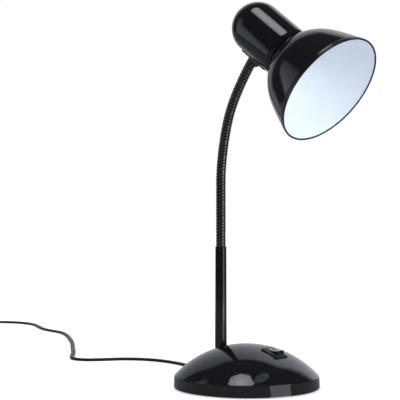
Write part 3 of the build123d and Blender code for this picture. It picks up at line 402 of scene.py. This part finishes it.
# %% A line with rounded corners
def rounded(points, steps=5):
    """A line through (x, y, corner radius) points, with each corner rounded."""
    nearly_straight = pi / 2 - 0.01
    out = []
    for i, (x, y, radius) in enumerate(points):
        corner = Vector((x, y))
        if radius <= 0 or i in (0, len(points) - 1):
            out.append(corner)
            continue
        a = (Vector(points[i - 1][:2]) - corner).normalized()
        b = (Vector(points[i + 1][:2]) - corner).normalized()
        half = a.angle(b) / 2
        if half > nearly_straight:
            out.append(corner)
            continue
        cut = radius / tan(half)
        centre = corner + (a + b).normalized() * radius / sin(half)
        start, end = corner + a * cut - centre, corner + b * cut - centre
        turn = start.angle_signed(end)
        for step in range(steps + 1):
            angle = -turn * step / steps
            out.append(centre + Matrix.Rotation(angle, 2) @ start)
    return [(p.x, p.y) for p in out]


print("a rounded corner takes", len(rounded([(0, 0, 0), (1, 0, 0.2), (1, 1, 0)])) - 2, "points")


# %% Meshes from points
def solid(name, verts, faces, place, materials, body, replaces=(), sharp=40, indices=None):
    """A mesh object, shaded smooth apart from corners sharper than so many degrees."""
    mesh = bpy.data.meshes.new(name)
    mesh.from_pydata([place @ Vector(v) for v in verts], [], faces)
    for material in materials:
        mesh.materials.append(material)
    if indices:
        mesh.polygons.foreach_set("material_index", indices)
    shape = bmesh.new()
    shape.from_mesh(mesh)
    bmesh.ops.remove_doubles(shape, verts=shape.verts, dist=1e-7)
    bmesh.ops.recalc_face_normals(shape, faces=shape.faces)
    shape.to_mesh(mesh)
    shape.free()
    mesh.shade_smooth()
    mesh.set_sharp_from_angle(angle=radians(sharp))
    piece = bpy.data.objects.new(name, mesh)
    bpy.context.collection.objects.link(piece)
    if body:
        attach(piece, body)
    if replaces:
        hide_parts(*replaces)
    return piece


# %% Turned pieces
def turned(line, segments, closed=False):
    """Points and faces of a line of (radius, height) points swept round the Z axis, and each face's band."""
    verts, faces, bands, rings = [], [], [], []
    for radius, height in line:
        if radius < 1e-6:
            rings.append([len(verts)])
            verts.append((0, 0, height))
            continue
        rings.append(list(range(len(verts), len(verts) + segments)))
        for k in range(segments):
            angle = 2 * pi * k / segments
            verts.append((radius * cos(angle), radius * sin(angle), height))
    pairs = list(zip(rings, rings[1:])) + ([(rings[-1], rings[0])] if closed else [])
    for band, (low, high) in enumerate(pairs):
        for k in range(segments):
            n = (k + 1) % segments
            if len(low) == 1 and len(high) == 1:
                continue
            if len(low) == 1:
                faces.append((low[0], high[n], high[k]))
            elif len(high) == 1:
                faces.append((low[k], low[n], high[0]))
            else:
                faces.append((low[k], low[n], high[n], high[k]))
            bands.append(band)
    return verts, faces, bands


def lathe(name, line, place, materials, body, replaces=(), segments=96, closed=False, pick=None, sharp=40):
    """A turned piece. pick gives each band of the line its material slot."""
    verts, faces, bands = turned(line, segments, closed)
    indices = [pick(band) for band in bands] if pick else None
    return solid(name, verts, faces, place, materials, body, replaces, sharp, indices)


print("two bands of eight steps have", len(turned([(1, 0), (2, 0), (2, 1)], 8)[1]), "faces")

# %% Base shell
metres = Matrix.Scale(0.001, 4)
base_radius, dome_radius, wall = 72.5, 98.0, 2.2
rim_top, rim_foot, rim_inset = 12.0, 1.0, 0.45
rim_ceiling, shoulder, ceiling_edge = 11.0, (55.0, 20.0), 52.0
dome_steps, ceiling_steps = 90, 24

dome_middle = rim_top - sqrt(dome_radius**2 - base_radius**2)
lip = base_radius - rim_inset
edge = asin(lip / dome_radius)
line = []
for i in range(dome_steps):
    angle = edge * i / dome_steps
    line.append((dome_radius * sin(angle), dome_middle + dome_radius * cos(angle)))
rim = (lip, dome_middle + sqrt(dome_radius**2 - lip**2))
rim_inside = base_radius - wall
line += rounded([(*line[-1], 0), (*rim, 0.7), (base_radius, rim_foot, 1.4), (rim_inside, rim_foot, 0.4),
                 (rim_inside, rim_ceiling, 0.6), (*shoulder, 0)], 6)[1:]
ceiling_radius = dome_radius - wall
for i in range(ceiling_steps + 1):
    angle = asin(ceiling_edge / ceiling_radius) * (1 - i / ceiling_steps)
    line.append((ceiling_radius * sin(angle), dome_middle + ceiling_radius * cos(angle)))
line[0], line[-1] = (0, line[0][1]), (0, line[-1][1])
base = lathe("base_dome", line, metres, [black_plastic], "base", ["base_shell"], segments=288, sharp=30)
print("dome faces", len(base.data.polygons))

# %% [markdown]
# ## The rocker switch
# A switch like this snaps into a hole: its bezel has a sloping edge that hides the cut, and the rocker
# sits in a well with a fine gap round it. Each half of the rocker is dished for a finger, with the usual
# line and ring printed on it. Two boxes would stand for it from far away. Here the bezel is a stack of
# outlines, which gives each slope its own row, and the rocker is its side view, drawn once and made thick.
# The dome's hole is cut first, so nothing shows through the well.

# %% Outlines and stacks
def placed(origin, x, y, z):
    """A matrix from millimetres in a piece's own axes to metres in the lamp's frame."""
    turn = Matrix((Vector(x), Vector(y), Vector(z))).transposed().to_4x4()
    return metres @ Matrix.Translation(Vector(origin)) @ turn


def arc(centre, radius, start, end, steps):
    """Points on a circle, angles in degrees."""
    angles = [radians(start + (end - start) * i / steps) for i in range(steps + 1)]
    return [(centre[0] + radius * cos(angle), centre[1] + radius * sin(angle)) for angle in angles]


def plate(width, height, radius, steps=5):
    """A rounded rectangle's outline, width along x and height along y."""
    out = []
    for cx, cy, start in ((1, 1, 0), (-1, 1, 90), (-1, -1, 180), (1, -1, 270)):
        middle = (cx * (width / 2 - radius), cy * (height / 2 - radius))
        out += arc(middle, radius, start, start + 90, steps)
    return out


def stack(name, loops, place, materials, body, replaces=(), sharp=40):
    """A closed skin over outlines that all have the same number of points."""
    count = len(loops[0])
    verts = [point for loop in loops for point in loop]
    faces = [tuple(range(count))]
    for row in range(len(loops) - 1):
        for k in range(count):
            n = (k + 1) % count
            faces.append((row * count + k, row * count + n, (row + 1) * count + n, (row + 1) * count + k))
    faces.append(tuple(range((len(loops) - 1) * count, len(loops) * count)))
    return solid(name, verts, faces, place, materials, body, replaces, sharp)


print("a plate's outline has", len(plate(2, 1, 0.1)), "points")


# %% Switch hole and bezel
def settle(piece):
    """Turn a piece's modifiers into plain faces."""
    bpy.context.view_layer.update()
    mesh = bpy.data.meshes.new_from_object(piece.evaluated_get(bpy.context.evaluated_depsgraph_get()))
    piece.modifiers.clear()
    piece.data = mesh


def carve(piece, cutter):
    """Cut one mesh out of another, then throw the cutter away."""
    cut = piece.modifiers.new("cut", "BOOLEAN")
    cut.object, cut.solver = cutter, "EXACT"
    settle(piece)
    bpy.data.objects.remove(cutter)


switch_reach = 34.5
hole_length, hole_width, hole_corner, hole_heights = 19.6, 13.2, 1.2, (-5, 4)
lean = asin(switch_reach / dome_radius)
seat = Vector((switch_reach, 0, dome_middle + sqrt(dome_radius**2 - switch_reach**2)))
out_of, along = Vector((sin(lean), 0, cos(lean))), Vector((cos(lean), 0, -sin(lean)))
switch_place = placed(seat, along, (0, 1, 0), out_of)
hole = [[(x, y, z) for x, y in plate(hole_length, hole_width, hole_corner)] for z in hole_heights]
carve(base, stack("switch_hole", hole, switch_place, [], None))

# Each row of the bezel: its height above the dome, then length, width and corner radius
bezel_rows = (
    (-14.8, 19.2, 12.8, 1), (-0.75, 19.2, 12.8, 1), (-0.75, 21.5, 18, 1.5), (0.35, 21.5, 18, 1.5),
    (0.6, 21.3, 17.8, 1.5), (0.78, 20.9, 17.4, 1.4), (1.26, 18.7, 12.9, 1.1), (1.3, 18.4, 12.4, 1),
    (1.3, 17.9, 11.5, 0.9), (1.1, 17.6, 11.2, 0.8), (-6.0, 17.6, 11.2, 0.8),
)
loops = [[(x, y, z) for x, y in plate(length, width, corner)] for z, length, width, corner in bezel_rows]
bezel = stack("switch_bezel", loops, switch_place, [switch_plastic], "base", ["switch_housing"], sharp=28)
print("bezel", len(bezel.data.polygons), "faces, dome", len(base.data.polygons))

# %% Rocker
rocker_turn, pivot_depth = radians(14), 1.0
half, rise, dip, under, half_across = 7.2, 4.5, 3.3, 2.5, 5.3
dish_power, top_steps, end_steps = 1.7, 28, 10

rocker_along = along * cos(rocker_turn) + out_of * sin(rocker_turn)
rocker_up = out_of * cos(rocker_turn) - along * sin(rocker_turn)
rocker_place = placed(seat - out_of * pivot_depth, rocker_along, (0, 1, 0), rocker_up)
swing = sqrt(half**2 + rise**2)
top_angle, low_angle = degrees(asin(rise / swing)), degrees(asin(under / swing))


def rocker_top(x):
    """Height of the rocker's dished top, x millimetres from its middle."""
    return dip + (rise - dip) * (abs(x) / half) ** dish_power


def spread(low, high, count):
    """Evenly spaced values from low to high."""
    return [low + (high - low) * k / count for k in range(count + 1)]


def soften(piece, width, steps=3, angle=30):
    """Round a piece's corners."""
    edge = piece.modifiers.new("round", "BEVEL")
    edge.width, edge.segments = width * 0.001, steps
    edge.limit_method, edge.angle_limit = "ANGLE", radians(angle)
    edge.harden_normals = True
    settle(piece)


side = [(x, rocker_top(x)) for x in spread(-half, half, top_steps)]
side += arc((0, 0), swing, top_angle, -low_angle, end_steps)[1:]
side += arc((0, 0), swing, 180 + low_angle, 180 - top_angle, end_steps)[:-1]
sides = [[(x, y, z) for x, z in side] for y in (-half_across, half_across)]
rocker = stack("rocker_cap", sides, rocker_place, [rocker_plastic], "rocker", ["rocker"])
soften(rocker, width=0.45, steps=4, angle=28)
print("rocker", len(rocker.data.polygons), "faces")

# %% Marks on the rocker
mark_reach, print_lift, print_root, ring_root = 4.5, 0.03, -0.12, -0.16
ring_radius, ring_bore, ring_steps = 1.6, 1.05, 48


def printed(name, outlines):
    """A thin print that follows the rocker's dished top."""
    skins = [[(x, y, rocker_top(x) + lift) for x, y in outline] for outline, lift in outlines]
    return stack(name, skins, rocker_place, [mark_white], "rocker", sharp=60)


def circle(radius):
    """A closed outline round the ring's middle."""
    return arc((mark_reach, 0), radius, 0, 360 - 360 / ring_steps, ring_steps - 1)


bar = [(x - mark_reach, y) for x, y in plate(width=0.7, height=3.0, radius=0.15)]
rim_line, bore_line = circle(ring_radius), circle(ring_bore)
marks = [
    printed("rocker_line", [(bar, print_root), (bar, print_lift)]),
    printed("rocker_ring", [(rim_line, ring_root), (rim_line, print_lift),
                            (bore_line, print_lift), (bore_line, print_root)]),
]
print("marks", [mark.name for mark in marks])

# %% [markdown]
# ## The stem
# The stem is a steel tube with a coat of gloss paint. It goes straight into the dome and widens a little
# on its way down, and the neck sits in its mouth. A cylinder primitive has neither the taper nor the soft
# edge at the mouth, so the tube is turned like the dome.

# %% Stem
stem_reach, stem_top, stem_foot = -33.2, 140.0, 20.0
stem_bore, stem_radius, bore_depth = 4.72, 5.7, 6.0
foot_radius, foot_bore = 6.05, 4.2

line = rounded([(stem_bore, stem_top - bore_depth, 0), (stem_bore, stem_top, 0.2),
                (stem_radius, stem_top, 0.5), (foot_radius, stem_foot, 0), (foot_bore, stem_foot, 0)], 6)
stem = lathe("stem_tube_paint", line, metres @ Matrix.Translation((stem_reach, 0, 0)), [black_paint],
             "base", ["stem_tube"], segments=96)
print("stem faces", len(stem.data.polygons))

# %% [markdown]
# ## The gooseneck
# A gooseneck is a flat wire wound into a tight spring: it bends anywhere and stays there. The CAD model
# stands for that with twelve hinges. One long skin could be blended across them. Stiff sleeves that meet in
# the grooves keep every rib round at every pose, so the skin is thirteen of those. A ball in each joint
# fills the gap when the neck bends, and the lead runs down the middle.

# %% The neck's line
straight, bend_radius, bend = 62.6, 204.7, radians(37.5)
bow, bow_middle, bow_reach = -1.2, 138, 27
neck_length = straight + bend_radius * bend


def swell(travel, middle, reach):
    """A smooth bump: one at its middle, and close to nothing two reaches away."""
    return exp(-(((travel - middle) / reach) ** 2))


def neck_spot(travel):
    """Place and direction on the neck's line, travel millimetres from the stem's top."""
    if travel <= straight:
        return Vector((stem_reach, 0, stem_top + travel)), Vector((0, 0, 1))
    angle = (travel - straight) / bend_radius
    x = stem_reach + bend_radius * (1 - cos(angle)) + bow * swell(travel, bow_middle, bow_reach)
    z = stem_top + straight + bend_radius * sin(angle)
    return Vector((x, 0, z)), Vector((sin(angle), 0, cos(angle)))


print("neck", round(neck_length, 1), "mm, its tip at", [round(x, 1) for x in neck_spot(neck_length)[0]])

# %% Ribs and sleeves
pitch, crest, groove, tail_radius, rib_power = 3.1, 4.92, 4.55, 4.5, 6
joints, ribs_each = 12, 5
link = ribs_each * pitch
first_joint = (neck_length - (joints - 1) * link) / 2


def rib(travel):
    """Radius of the ribbed skin: flat ribs with narrow grooves, and plain inside the stem."""
    phase = ((travel - first_joint) / pitch) % 1.0
    height = 1 - abs(2 * phase - 1) ** rib_power
    return tail_radius if travel < 0 else groove + (crest - groove) * height


def sleeve(name, line, material, body, replaces=(), around=40):
    """A closed line of (travel, radius) points swept round the neck's own line."""
    verts, faces = [], []
    cross = Vector((0, 1, 0))
    for row, (travel, radius) in enumerate(line):
        place, along = neck_spot(travel)
        for k in range(around):
            angle, n, up = 2 * pi * k / around, (k + 1) % around, (row + 1) % len(line)
            verts.append(place + (cross.cross(along) * cos(angle) + cross * sin(angle)) * radius)
            faces.append((row * around + k, row * around + n, up * around + n, up * around + k))
    return solid(name, verts, faces, metres, [material], body, replaces, sharp=50)


print("rib radius", crest, "mm, groove", round(rib(first_joint), 2))

# %% Neck
bodies = ["base"] + [f"neck_{i:02d}" for i in range(1, joints)] + ["head"]
links = ["neck_root"] + [f"neck_link_{i:02d}" for i in range(1, joints)] + ["neck_tip"]
tail, tip_gap, joint_gap, row_step = 6.0, 0.05, 0.5, 0.26
bore, joint_bore, joint_depth, bore_step = 4.4, 4.65, 2.4, 0.05
lead_radius, lead_core, lead_sides = 2.2, 0.6, 16
ball_radius, ball_angle, ball_bore, ball_steps = 4.5, 35, 3.0, 12
plain_steps = 6

for i, (body, node) in enumerate(zip(bodies, links)):
    low = -tail if i == 0 else first_joint + (i - 1) * link + joint_gap
    high = neck_length - tip_gap if i == joints else first_joint + i * link - joint_gap
    skin = [(t, rib(t)) for t in spread(low, high, round((high - low) / row_step))]
    skin += [(high, bore)] if i == joints else [(high, joint_bore), (high - joint_depth, joint_bore)]
    bore_ends = high - joint_depth - bore_step, low + joint_depth + bore_step
    skin += [(t, bore) for t in spread(*bore_ends, plain_steps)]
    skin += [(low, bore)] if i == 0 else [(low + joint_depth, joint_bore), (low, joint_bore)]
    sleeve(f"neck_sleeve_{i:02d}", skin, black_neck, body, [node])
    lead = [(t, lead_radius) for t in spread(low, high, plain_steps)]
    lead += [(t, lead_core) for t in spread(high, low, plain_steps)]
    sleeve(f"neck_lead_{i:02d}", lead, cord_rubber, body, ["neck_cable"] if i == 0 else [], lead_sides)
    if i < joints:
        joint = first_joint + i * link
        ball = [(joint + z, r) for r, z in arc((0, 0), ball_radius, -ball_angle, ball_angle, ball_steps)]
        ball += [(ball[-1][0], ball_bore), (ball[0][0], ball_bore)]
        sleeve(f"neck_ball_{i + 1:02d}", ball, black_neck, body)
print("neck of", len(links), "sleeves and", joints, "balls")

# %% [markdown]
# ## The cap
# The cap is a moulded cylinder with a round end, and its lip closes over the shade's collar. The neck meets
# it at a flat pad, and a small gusset stiffens the corner. The three could be one mesh with booleans. They
# are three closed pieces that sink into each other, because each then keeps its own clean edges.

# %% Cap
head_middle = (25.11, 0, 348.08)
head_up, forward = Vector((sin(bend), 0, cos(bend))), Vector((cos(bend), 0, -sin(bend)))
head = placed(head_middle, head_up, forward.cross(head_up), forward)
cap_radius, cap_bore, cap_back = 26, 24, -13.5
waist_middle, waist_radius, waist_turn = (13, 28.4), 13, 23.5
lip_edge, lip_bore, lip_front, lip_back = 24.75, 24.55, 34.0, 31.0

line = arc((0, cap_back), cap_radius, -90, 0, 48) + arc(waist_middle, waist_radius, 0, waist_turn, 10)
line += rounded([(*line[-1], 0), (lip_edge, lip_front, 0.3), (lip_bore, lip_front - 0.1, 0),
                 (lip_bore, lip_back, 0), (cap_bore, lip_back - 1, 0), (cap_bore, cap_back, 0)], 4)[1:]
line += arc((0, cap_back), cap_bore, 0, -90, 24)[1:]
line[0], line[-1] = (0, cap_back - cap_radius), (0, cap_back - cap_bore)
cap = lathe("cap_shell", line, head, [black_plastic], "head", ["lamp_cap"], segments=160)
print("cap faces", len(cap.data.polygons), "and it points along", [round(x, 3) for x in forward])

# %% Pad and gusset
pad_length, pad_width, pad_corner, pad_middle = 36.5, 20, 3, 6.25
gusset_half, gusset_foot, gusset_top = 1.75, -33.3, -24.5
gusset_back, gusset_front, nose, land = 4.9, 12.9, 1.0, 1.8

# Each row of the pad: its height from the cap's axis, and how far its outline is drawn in
pad_rows = ((-21, 0), (-24.9, 0), (-25.25, 0.1), (-25.5, 0.45))
loops = []
for depth, shrink in pad_rows:
    outline = plate(pad_length - 2 * shrink, pad_width - 2 * shrink, pad_corner - shrink)
    loops.append([(depth, y, t + pad_middle) for t, y in outline])
pad = stack("cap_pad", loops, head, [black_plastic], "head")
wedge = [(gusset_top, gusset_back), (gusset_foot, gusset_back), (gusset_foot, gusset_back + nose),
         (gusset_top - land, gusset_front), (gusset_top, gusset_front)]
loops = [[(x, y, t) for x, t in wedge] for y in (-gusset_half, gusset_half)]
gusset = stack("cap_gusset", loops, head, [black_plastic], "head")
soften(gusset, width=0.5)
print("pad", len(pad.data.polygons), "faces, gusset", len(gusset.data.polygons))

# %% [markdown]
# ## The shade
# The shade is one spun sheet: a bell of two curves with a short collar. Its mouth is rolled into a bead, so
# the edge is stiff and not sharp, and two fine ridges stand behind it. A thin shell with a solidify modifier
# would have the same wall everywhere, but no bead. So one closed line runs up the outside, round the bead
# and back inside, and the lathe gives the black side and the white side each a slot of its own.

# %% The bell's two curves
shade_mouth, shade_depth = 58, 95
slope, front, back, turn_in = radians(14.2), 200.0, 82.0, radians(8.45)
collar_radius = 24.5
join = slope + turn_in
front_middle = Vector((shade_mouth - front * cos(slope), shade_depth + front * sin(slope)))
back_middle = front_middle + Vector((cos(join), -sin(join))) * (front - back)


def bell(inset, steps):
    """The bell's face from its mouth back to its collar."""
    points = []
    for i in range(steps + 1):
        angle, radius = slope + (join - slope) * (i / steps) ** 2, front - inset
        points.append((front_middle.x + radius * cos(angle), front_middle.y - radius * sin(angle)))
    end = acos((collar_radius - inset - back_middle.x) / (back - inset))
    for i in range(1, steps + 1):
        angle, radius = join + (end - join) * i / steps, back - inset
        points.append((back_middle.x + radius * cos(angle), back_middle.y - radius * sin(angle)))
    return points


mouth, *_, collar = bell(inset=0, steps=8)
print("bell from", [round(x, 1) for x in mouth], "to", [round(x, 1) for x in collar])

# %% Shade
sheet_wall = 1.2
fullness, full_middle, full_reach = 0.8, 52, 15
ridge, ridge_spots, ridge_reach = 0.22, (91.4, 93.1), 0.4
collar_bore, collar_edge, collar_back = 19.1, 23.0, 32.5
collar_inside, collar_front = 23.3, 33.7
bead_middle, bead_radius, bead_angles, black_bead_rows = (57.05, 94.5), 0.95, (15, 235), 11
outside_steps, inside_steps, bead_steps = 64, 40, 14
outside_end, inside_start = 94.2, 93.6

outside = [(collar_bore, collar_back), (collar_edge, collar_back)]
for r, t in bell(0, outside_steps)[::-1]:
    r = r + fullness * swell(t, full_middle, full_reach)
    r = r + ridge * swell(t, ridge_spots[0], ridge_reach) + ridge * swell(t, ridge_spots[1], ridge_reach)
    if t < outside_end:
        outside.append((r, t))
bead = arc(bead_middle, bead_radius, *bead_angles, bead_steps)
inside = [(r, t) for r, t in bell(sheet_wall, inside_steps) if t < inside_start]
inside += [(collar_inside, collar_front), (collar_bore, collar_front)]
white_from = len(outside) + black_bead_rows
shade = lathe("bell_shade", outside + bead + inside, head, [black_paint, inside_white], "head", ["shade"],
              segments=224, closed=True, pick=lambda band: int(band >= white_from), sharp=35)
print("shade faces", len(shade.data.polygons))

# %% [markdown]
# ## The floor
# The lamp stands on a white sweep. Gloss black shows only what it reflects, and a white floor would turn
# the rim and the stem grey. A photographer would lay dark cards just outside the picture. Here the Light
# Path node does it: the camera sees white, and gloss sees a dim floor with one bright wedge in front, which
# the rim shows as an upright patch. From here on, sizes are in metres.

# %% Floor
turn = radians(camera_heading)
right, away = Vector((cos(turn), sin(turn), 0)), Vector((-sin(turn), cos(turn), 0))
floor_grey, floor_in_gloss, floor_glow = (0.62, 0.62, 0.62), (0.16, 0.16, 0.17), 0.5
wedge_tip, wedge_turn = right * 0.006 - away * 0.047, radians(51.5)
wedge_edge, wedge_levels = (0.948, 0.958), (0.148, 3.1)
floor_rings, floor_steps = (0, 0.5, 1.5, 6), 64

sweep_white, tree, surface = shader("sweep_white")
surface.inputs["Roughness"].default_value = 0.9
surface.inputs["Specular IOR Level"].default_value = 0.0
surface.inputs["Emission Color"].default_value = (1, 1, 1, 1)
seen = tree.nodes.new("ShaderNodeLightPath")
grey = blend_colours(tree, seen.outputs["Is Glossy Ray"], floor_grey, floor_in_gloss)
tree.links.new(grey, surface.inputs["Base Color"])
from_tip = add(tree, "ShaderNodeVectorMath", operation="SUBTRACT")
tree.links.new(tree.nodes.new("ShaderNodeTexCoord").outputs["Object"], from_tip.inputs[0])
from_tip.inputs[1].default_value = wedge_tip
unit = add(tree, "ShaderNodeVectorMath", operation="NORMALIZE")
tree.links.new(from_tip.outputs[0], unit.inputs[0])
beam = add(tree, "ShaderNodeVectorMath", operation="DOT_PRODUCT")
tree.links.new(unit.outputs[0], beam.inputs[0])
beam.inputs[1].default_value = right * sin(wedge_turn) - away * cos(wedge_turn)
pool = remap(tree, beam.outputs["Value"], *wedge_edge, *wedge_levels)
seen_white = sums(tree, "MAXIMUM", seen.outputs["Is Camera Ray"], seen.outputs["Is Transmission Ray"])
level = sums(tree, "MAXIMUM", seen_white, sums(tree, "MULTIPLY", seen.outputs["Is Glossy Ray"], pool))
tree.links.new(sums(tree, "MULTIPLY", level, floor_glow), surface.inputs["Emission Strength"])
verts, faces, _ = turned([(radius, 0) for radius in floor_rings], floor_steps)
floor = solid("floor", verts, faces, Matrix.Identity(4), [sweep_white], None)
print("floor faces", len(floor.data.polygons))

# %% [markdown]
# ## The room
# The backdrop is white to the camera, and the room gives a soft, slightly cool light from all sides. A
# picture of a studio could light the scene, but a plain colour for each kind of ray keeps every reflection
# in hand: diffuse light is bright, and gloss sees a dark room.

# %% World
room_light, room_in_gloss, backdrop = (1.01, 1.05, 1.13), (0.05, 0.05, 0.055), (1.0, 1.0, 1.0)
world = bpy.data.worlds.new("studio")
bpy.context.scene.world = world
world.use_nodes = True
tree = world.node_tree
seen = tree.nodes.new("ShaderNodeLightPath")
seen_white = sums(tree, "MAXIMUM", seen.outputs["Is Camera Ray"], seen.outputs["Is Transmission Ray"])
colour = blend_colours(tree, seen.outputs["Is Glossy Ray"], room_light, room_in_gloss)
tree.links.new(blend_colours(tree, seen_white, colour, backdrop), tree.nodes["Background"].inputs["Color"])
print("world", len(tree.nodes), "nodes")

# %% [markdown]
# ## Pale cards
# The long soft highlights on the dome, the cap and the stem are pale cards that stand behind the lamp and
# at its left. Area lamps would do for this too, but their edges are hard and they light everything. A card
# with a faded edge, seen by gloss alone, puts each highlight where it belongs and leaves the light as it is.

# %% Cards
card_colour = (0.93, 0.95, 1.05, 1)


def spot_at(azimuth, distance, height=0.0):
    """A place round the lamp, azimuth degrees to the right of straight behind it."""
    turn = radians(azimuth)
    return right * sin(turn) * distance + away * cos(turn) * distance + Vector((0, 0, height))


def card(name, start, end, low, high, glow, soft, fall, rest):
    """An upright pale card that only gloss sees, between two places on the floor.

    high, glow and soft each give a value at the start and one at the end: the height of its top, its
    radiance and the width of its faded edge. Over the top part called fall it dims to the share called rest.
    """
    width = (end - start).length
    paper, tree, surface = shader(name)
    surface.inputs["Base Color"].default_value = (0, 0, 0, 1)
    surface.inputs["Emission Color"].default_value = card_colour
    place = add(tree, "ShaderNodeSeparateXYZ")
    tree.links.new(tree.nodes.new("ShaderNodeTexCoord").outputs["Object"], place.inputs[0])
    across, slant = place.outputs["X"], (high[1] - high[0]) / width
    up = sums(tree, "SUBTRACT", place.outputs["Z"], sums(tree, "MULTIPLY", across, slant))
    level = remap(tree, across, 0, width, *glow)
    fades = (
        (across, 0, soft[0], 0),
        (across, width, width - soft[1], 0),
        (up, high[0], high[0] - fall, rest),
    )
    for part, dim, full, least in fades:
        level = sums(tree, "MULTIPLY", level, remap(tree, part, dim, full, least, 1))
    tree.links.new(level, surface.inputs["Emission Strength"])
    corners = [(0, 0, low), (width, 0, low), (width, 0, high[1]), (0, 0, high[0])]
    sheet = solid(name, corners, [(0, 1, 2, 3)], Matrix.Identity(4), [paper], None)
    sheet.location = start
    sheet.rotation_euler = (0, 0, atan2(end.y - start.y, end.x - start.x))
    sheet.visible_camera = sheet.visible_diffuse = sheet.visible_shadow = sheet.visible_transmission = False


card("card_behind", spot_at(-46, 1.224), spot_at(0, 0.85), low=0, high=(1.65, 1.78), glow=(0.33, 0.70),
     soft=(0.10, 0.02), fall=0.38, rest=0)
card("card_low", spot_at(-3, 0.60), spot_at(53, 0.56), low=0, high=(1.226, 0.86), glow=(0.68, 1.18),
     soft=(0.001, 0.10), fall=0.2, rest=0)
card("card_left", spot_at(-69.5, 0.5), spot_at(-109, 0.5), low=0.25, high=(0.66, 0.66), glow=(0.95, 0.85),
     soft=(0.03, 0.08), fall=0.26, rest=0.3)

# %% [markdown]
# ## Soft boxes
# An eight-sided soft box hangs over the lamp: its shape shows as the bright patch on the front of the dome,
# with a hot middle where its bulb is. A rectangle lamp can't give eight sides, so that one is a glowing
# plate. Two plain area lamps light the front: one that also shows in the gloss, and a wide fill that reaches
# the white inside of the shade and doesn't.

# %% The eight-sided soft box
box_radius, box_sides, box_turn = 0.345, 8, radians(35.5)
box_place = right * -0.15 + away * -0.265 + Vector((0, 0, 1.5))
box_middle, box_edge, box_fade = 5.6, 3.0, 0.34

cloth, tree, surface = shader("soft_box_cloth")
surface.inputs["Base Color"].default_value = (0, 0, 0, 1)
surface.inputs["Emission Color"].default_value = (1, 1, 1, 1)
reach = add(tree, "ShaderNodeVectorMath", operation="LENGTH")
tree.links.new(tree.nodes.new("ShaderNodeTexCoord").outputs["Object"], reach.inputs[0])
glow = remap(tree, reach.outputs["Value"], 0.0, box_fade, box_middle, box_edge)
tree.links.new(glow, surface.inputs["Emission Strength"])
verts, faces, _ = turned([(0, 0), (box_radius, 0)], box_sides)
over = solid("soft_box_over", verts, faces, Matrix.Rotation(box_turn, 4, "Z"), [cloth], None)
over.location = box_place
over.visible_camera = False
print("soft box at", [round(x, 3) for x in over.location])


# %% Area lamps
def softbox(name, place, target, width, height, radiance, colour=(1, 1, 1), mirrored=True):
    """A soft box of that radiance: an even lamp sends radiance x pi x area watts."""
    lamp = bpy.data.lights.new(name, "AREA")
    lamp.shape = "RECTANGLE"
    lamp.size, lamp.size_y = width, height
    lamp.energy = radiance * pi * width * height
    lamp.color = colour
    box = bpy.data.objects.new(name, lamp)
    box.location = place
    box.rotation_euler = (Vector(target) - Vector(place)).to_track_quat("-Z", "Y").to_euler()
    box.visible_glossy = mirrored
    bpy.context.collection.objects.link(box)


softbox("soft_box_right", spot_at(122, 1.3, 0.28), (0, 0, 0.12), width=0.62, height=0.8, radiance=2.4)
softbox("soft_fill", spot_at(138, 1.6, 0.30), (0, 0, 0.25), width=1.4, height=1.4, radiance=1.6,
        colour=(0.93, 0.98, 1.05), mirrored=False)

# %% [markdown]
# ## Finish
# The view layer is brought up to date, so every piece stands where its matrix puts it.
# Finer curves must not make the lamp larger.

# %% Finish
bpy.context.view_layer.update()
